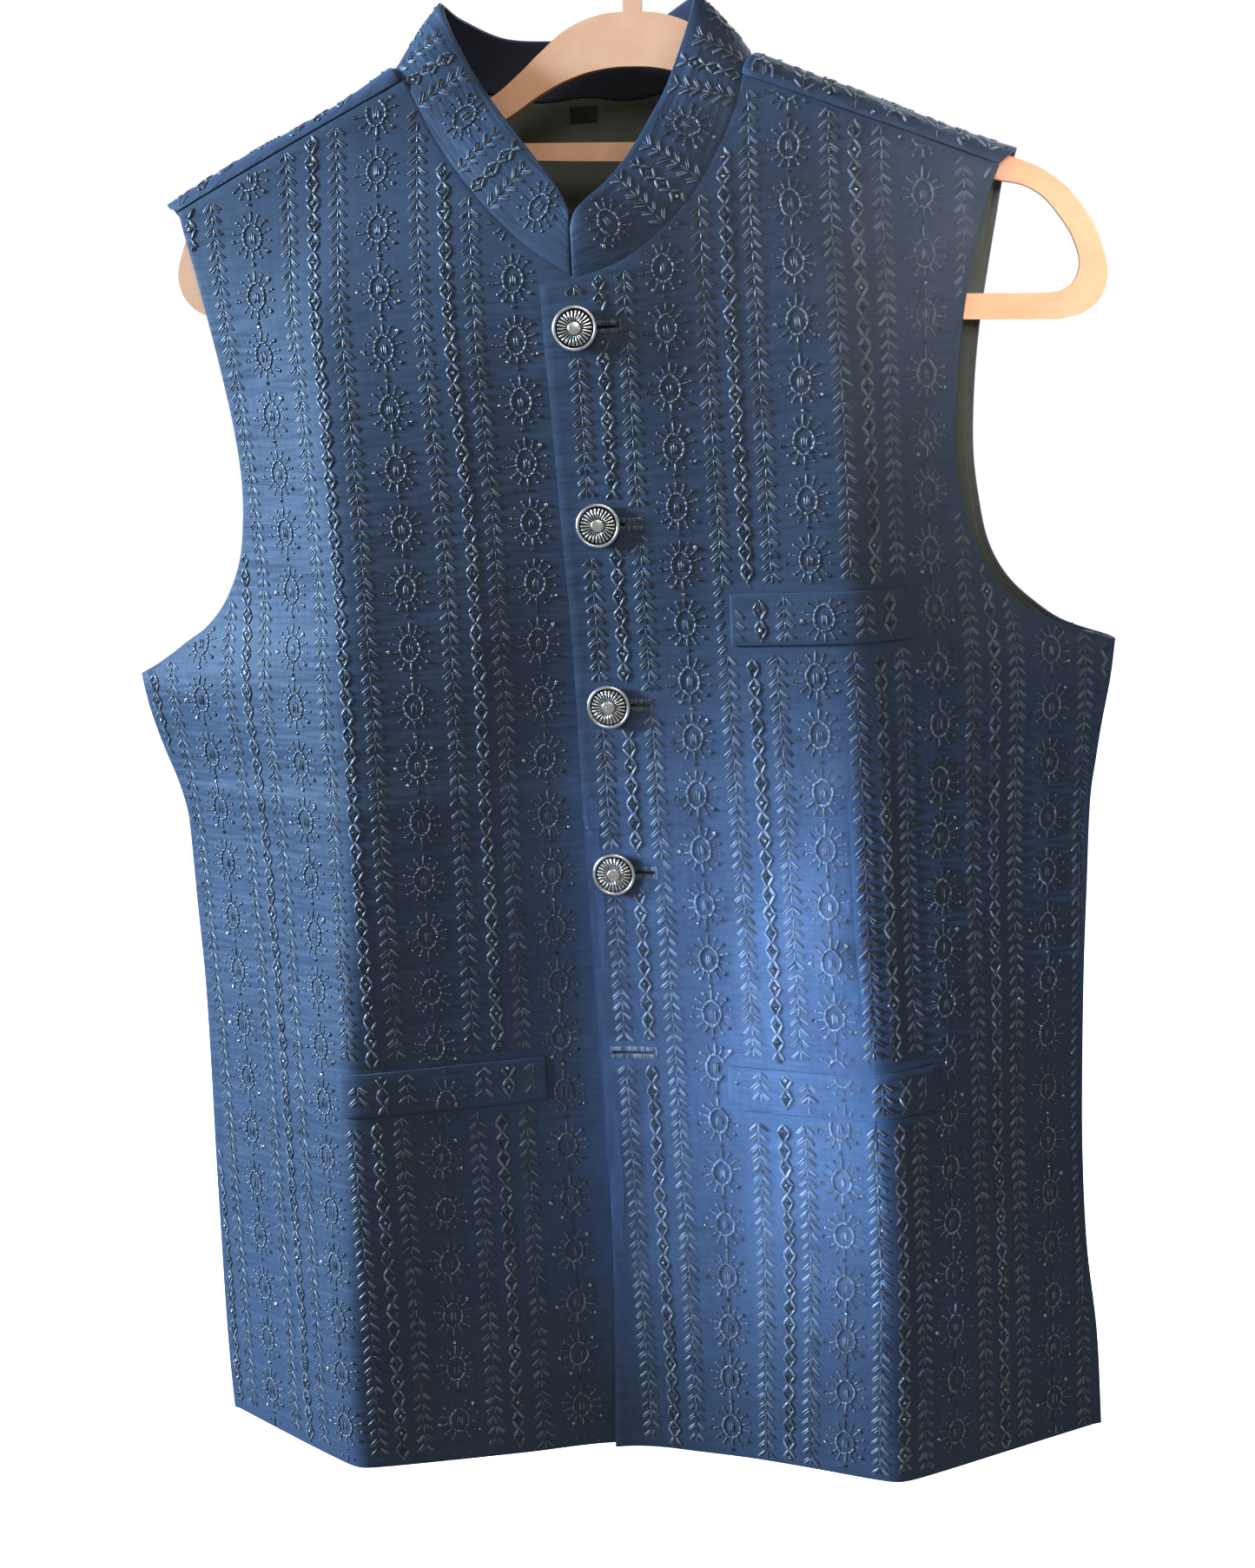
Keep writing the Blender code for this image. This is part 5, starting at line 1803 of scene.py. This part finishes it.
@dataclass
class Hanger:
    """The moulded hanger and its wire hook."""

    edge: float = 1.9             # rounding of its edges

    def build(self, finishes: Finishes) -> None:
        """Make the hanger and the hook."""
        shape = bpy.data.curves.new("hanger_body", 'CURVE')
        shape.dimensions = '2D'
        shape.fill_mode = 'BOTH'
        shape.resolution_u = 8
        nub = [(NUB_WIDE, NUB_TALL), (NUB_WIDE, -0.1)]
        for half in (nub + list(CROWN_LINE), list(NECK_HOLE), list(ARM_HOLE)):
            self.outline(shape, half)
        shape.extrude = HANGER_THICK / 2
        flat = bpy.data.objects.new("hanger_flat", shape)
        bpy.context.scene.collection.objects.link(flat)
        bpy.context.view_layer.update()
        mesh = bpy.data.meshes.new_from_object(flat.evaluated_get(bpy.context.evaluated_depsgraph_get()))
        bpy.data.objects.remove(flat, do_unlink=True)
        form = bmesh.new()
        form.from_mesh(mesh)
        bmesh.ops.remove_doubles(form, verts=form.verts, dist=0.01)
        bmesh.ops.recalc_face_normals(form, faces=form.faces)
        stand = (Matrix.Translation((0.0, 0.0, -CROWN_DROP * MM)) @ Matrix.Rotation(math.radians(90.0), 4, 'X')
                 @ Matrix.Scale(MM, 4))
        bmesh.ops.transform(form, matrix=stand, verts=form.verts)
        made = set_down("hanger_plastic", form, (finishes.plastic,))
        rounded = made.modifiers.new("rounded", 'BEVEL')
        rounded.width = self.edge * MM
        rounded.segments = 4
        rounded.limit_method = 'ANGLE'
        rounded.angle_limit = math.radians(60.0)
        rounded.harden_normals = True
        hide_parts("hanger")
        self.hook(finishes)

    def outline(self, shape: bpy.types.Curve, half: list[tuple[float, float]]) -> None:
        """A closed outline from one half, mirrored.

        It is sharp where it turns a corner or where a short side meets a long one.
        """
        places = [Vector(spot) for spot in half + [(-x, z) for x, z in reversed(half) if x > 0.0]]
        spline = shape.splines.new('BEZIER')
        spline.bezier_points.add(len(places) - 1)
        for knot, here, before, after in zip(spline.bezier_points, places, places[-1:] + places, places[1:] + places):
            come, go = here - before, after - here
            short, long = sorted((come.length, go.length))
            sharp = come.angle(go) > math.radians(50.0) or long > 6.0 * short
            knot.co = (*here, 0.0)
            knot.handle_left_type = knot.handle_right_type = 'VECTOR' if sharp else 'AUTO'
        spline.use_cyclic_u = True

    def hook(self, finishes: Finishes) -> None:
        """The wire: a stem out of the nub, a bend and an open arc."""
        radius, centre = HOOK_INSIDE + HOOK_WIRE, -HOOK_INSIDE
        turn = np.radians(np.linspace(HOOK_FROM, HOOK_TO, 61))
        arc = np.stack([radius * np.cos(turn), 0 * turn, centre + radius * np.sin(turn)], axis=-1)
        foot = np.array([0.0, 0.0, -CROWN_DROP + NUB_TALL + GAP])
        bend = foot + np.array([0.0, 0.0, HOOK_STEM])
        heading = math.radians(HOOK_FROM + 90.0)
        ahead = np.array([math.cos(heading), 0.0, math.sin(heading)])
        reach = np.linalg.norm(arc[0] - bend) * 0.5
        t = np.linspace(0, 1, 15)[:-1, None]
        a, b, c, d = bend, bend + np.array([0.0, 0.0, reach]), arc[0] - ahead * reach, arc[0]
        near, middle, far = mix(a, b, t), mix(b, c, t), mix(c, d, t)
        neck = mix(mix(near, middle, t), mix(middle, far, t), t)
        places = np.concatenate([[foot, mix(foot, bend, 0.5)], neck, arc])
        wire = bpy.data.curves.new("hook_wire", 'CURVE')
        wire.dimensions = '3D'
        wire.bevel_depth = HOOK_WIRE * MM
        wire.bevel_resolution = 5
        wire.use_fill_caps = True
        spline = wire.splines.new('POLY')
        spline.points.add(len(places) - 1)
        spline.points.foreach_set("co", np.concatenate([places * MM, np.ones((len(places), 1))], axis=1).ravel())
        spline.use_smooth = True
        loose = bpy.data.objects.new("hook_curve", wire)
        bpy.context.scene.collection.objects.link(loose)
        bpy.context.view_layer.update()
        mesh = bpy.data.meshes.new_from_object(loose.evaluated_get(bpy.context.evaluated_depsgraph_get()))
        bpy.data.objects.remove(loose, do_unlink=True)
        made = set_out("hook_wire", mesh, (finishes.wire,))
        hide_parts("hanger_hook")


# ---------------------------------------------------------------- setting

@dataclass(frozen=True)
class Lamp:
    """A soft rectangular lamp that looks at a spot on the garment."""

    name: str
    place: tuple[float, float, float]
    wide: float
    tall: float
    power: float
    colour: Colour = (1.0, 1.0, 1.0)
    spread: float = 180.0         # angle that its light fills, in degrees
    target: tuple[float, float, float] = (-0.03, 0.0, -0.45)

    def build(self) -> None:
        """Hang the lamp."""
        light = bpy.data.lights.new(self.name, 'AREA')
        light.shape = 'RECTANGLE'
        light.size, light.size_y = self.wide, self.tall
        light.spread = math.radians(self.spread)
        light.energy = self.power
        light.color = self.colour
        made = bpy.data.objects.new(self.name, light)
        made.location = self.place
        made.rotation_euler = (Vector(self.target) - Vector(self.place)).to_track_quat('-Z', 'Y').to_euler()
        bpy.context.scene.collection.objects.link(made)


@dataclass(frozen=True)
class Studio:
    """Camera, lamps, floor and background."""

    camera_at: tuple[float, float, float] = (0.115, -1.0302, -0.2104)
    look: tuple[float, float, float] = (-0.1107, 0.9719, -0.2079)
    up: tuple[float, float, float] = (-0.0235, 0.2066, 0.9782)
    lens: float = 48.88
    film: float = 36.0
    floor_at: float = -1.2
    lamps: tuple[Lamp, ...] = (
        Lamp("key", (-3.8, -0.8, 0.5), 0.9, 0.9, 580.0, (0.44, 0.70, 1.0)),
        Lamp("shaft", (-1.9, -1.35, -0.35), 0.03, 0.26, 0.62, (0.38, 0.62, 1.0), 5.0, (0.080, -0.08, -0.54)),
        Lamp("fill", (1.3, -1.7, 0.3), 0.2, 0.2, 0.22, (1.0, 0.94, 0.93), 9.0, (0.23, 0.0, -0.16)),
        Lamp("front", (0.1, -2.0, 0.9), 0.6, 0.6, 12.0, (1.0, 0.98, 0.93)),
        Lamp("back", (0.9, 1.9, 0.9), 1.4, 1.4, 26.0, (0.95, 0.97, 1.0)),
    )
    ambient: float = 0.29
    air: Colour = (1.0, 0.98, 0.93)

    def build(self) -> None:
        """Set the scene for the picture."""
        scene = bpy.context.scene
        self.camera(scene)
        for lamp in self.lamps:
            lamp.build()
        self.background(scene)
        self.floor(scene)
        scene.view_settings.view_transform = "Standard"

    def camera(self, scene: bpy.types.Scene) -> None:
        """The camera, at the photograph's angle."""
        data = bpy.data.cameras.new("view")
        data.sensor_fit = 'VERTICAL'
        data.sensor_height = self.film
        data.lens = self.lens
        data.clip_start, data.clip_end = 0.05, 50.0
        made = bpy.data.objects.new("view", data)
        ahead, up = Vector(self.look).normalized(), Vector(self.up).normalized()
        right = ahead.cross(up).normalized()
        turn = Matrix((right, right.cross(ahead), -ahead)).transposed().to_4x4()
        made.matrix_world = Matrix.Translation(Vector(self.camera_at)) @ turn
        scene.collection.objects.link(made)
        scene.camera = made

    def background(self, scene: bpy.types.Scene) -> None:
        """White behind the object, and softer light from all round."""
        world = bpy.data.worlds.new("air")
        world.use_nodes = True
        tree = world.node_tree
        glow = tree.nodes["Background"]
        plain = tree.nodes.new("ShaderNodeBackground")
        ray = tree.nodes.new("ShaderNodeLightPath")
        both_ways = tree.nodes.new("ShaderNodeMixShader")
        glow.inputs["Color"].default_value = rgba(self.air)
        glow.inputs["Strength"].default_value = self.ambient
        plain.inputs["Color"].default_value = (1.0, 1.0, 1.0, 1.0)
        plain.inputs["Strength"].default_value = 1.0
        tree.links.new(ray.outputs["Is Camera Ray"], both_ways.inputs[0])
        tree.links.new(glow.outputs[0], both_ways.inputs[1])
        tree.links.new(plain.outputs[0], both_ways.inputs[2])
        tree.links.new(both_ways.outputs[0], tree.nodes["World Output"].inputs["Surface"])
        scene.world = world

    def floor(self, scene: bpy.types.Scene) -> None:
        """A plain pale floor well below the garment."""
        form = bmesh.new()
        bmesh.ops.create_grid(form, x_segments=1, y_segments=1, size=6.0,
                              matrix=Matrix.Translation((0.0, 0.0, self.floor_at)))
        mesh = bpy.data.meshes.new("floor")
        form.to_mesh(mesh)
        form.free()
        made = bpy.data.objects.new("floor", mesh)
        scene.collection.objects.link(made)
        g = Graph("floor_paint", (0.9, 0.9, 0.9))
        tint = g.blend(g.noise(g.place(None, (3.0, 3.0, 3.0))), (0.93, 0.93, 0.93), (0.97, 0.97, 0.97))
        mesh.materials.append(g.finish(Base_Color=tint, Roughness=0.9, Emission_Color=rgba((1.0, 1.0, 1.0)),
                                       Emission_Strength=1.0))
        made.visible_diffuse = made.visible_glossy = False


def corners(bounds: Any) -> list[list[float]]:
    """A box as plain lists."""
    return [[float(x) for x in corner] for corner in bounds]


def main() -> None:
    """Build the waistcoat on its hanger, and the setting."""
    logging.basicConfig(level=logging.INFO, format="%(name)s: %(message)s")
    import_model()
    finishes = Finishes()
    left = Front(LEFT, "front_left", (60.0, 100.0, 190.0, 550.0, 670.0),
                 ((11.5, 70.2, 129.6, 191.0, 251.0), (12.2, 70.9, 130.3, 191.0, 251.0),
                  (13.2, 72.5, 132.0, 191.6, 251.5), (17.4, 82.0, 137.6, 193.2, 252.5),
                  (18.0, 77.4, 135.6, 193.7, 253.0)),
                 Columns(26.8, 152.4, 147.9), 10)
    right = Front(RIGHT, "front_right", (46.0, 111.0, 140.0, 223.0, 450.0, 668.0),
                  ((-3.0, 59.0, 122.5, 186.5, 247.0), (-3.0, 58.4, 122.3, 185.0, 246.0),
                   (-3.0, 57.7, 120.5, 183.5, 245.0), (-3.0, 54.2, 118.0, 180.0, 242.0),
                   (-3.0, 58.5, 119.5, 178.5, 239.0), (-3.0, 62.3, 120.6, 177.9, 237.3)),
                  Columns(27.7, 154.8, 140.1), 20)
    for front in (left, right):
        front.build(finishes)
    back = Back(Columns(27.0, 60.0, 56.0))
    back.build(finishes)
    seam = neck_seam({LEFT: left.grid, RIGHT: right.grid}, back.grid, back.neck_columns())
    Collar(seam, Columns(26.0, 18.0, 5.5)).build(finishes)
    log.info("collar done")
    for seed, (spec, shift) in enumerate(zip(WELTS, (5.2, 3.0, 4.0))):
        PocketWelt(spec, left if spec.side > 0 else right, shift, 90 + seed * 10).build(finishes)
        log.info("%s done", spec.name)
    for spec in BUTTONS:
        Fastener(spec).build(finishes)
        log.info("%s done", spec.name)
    Hanger().build(finishes)
    log.info("hanger done")
    Studio().build()


if __name__ == "__main__":
    main()
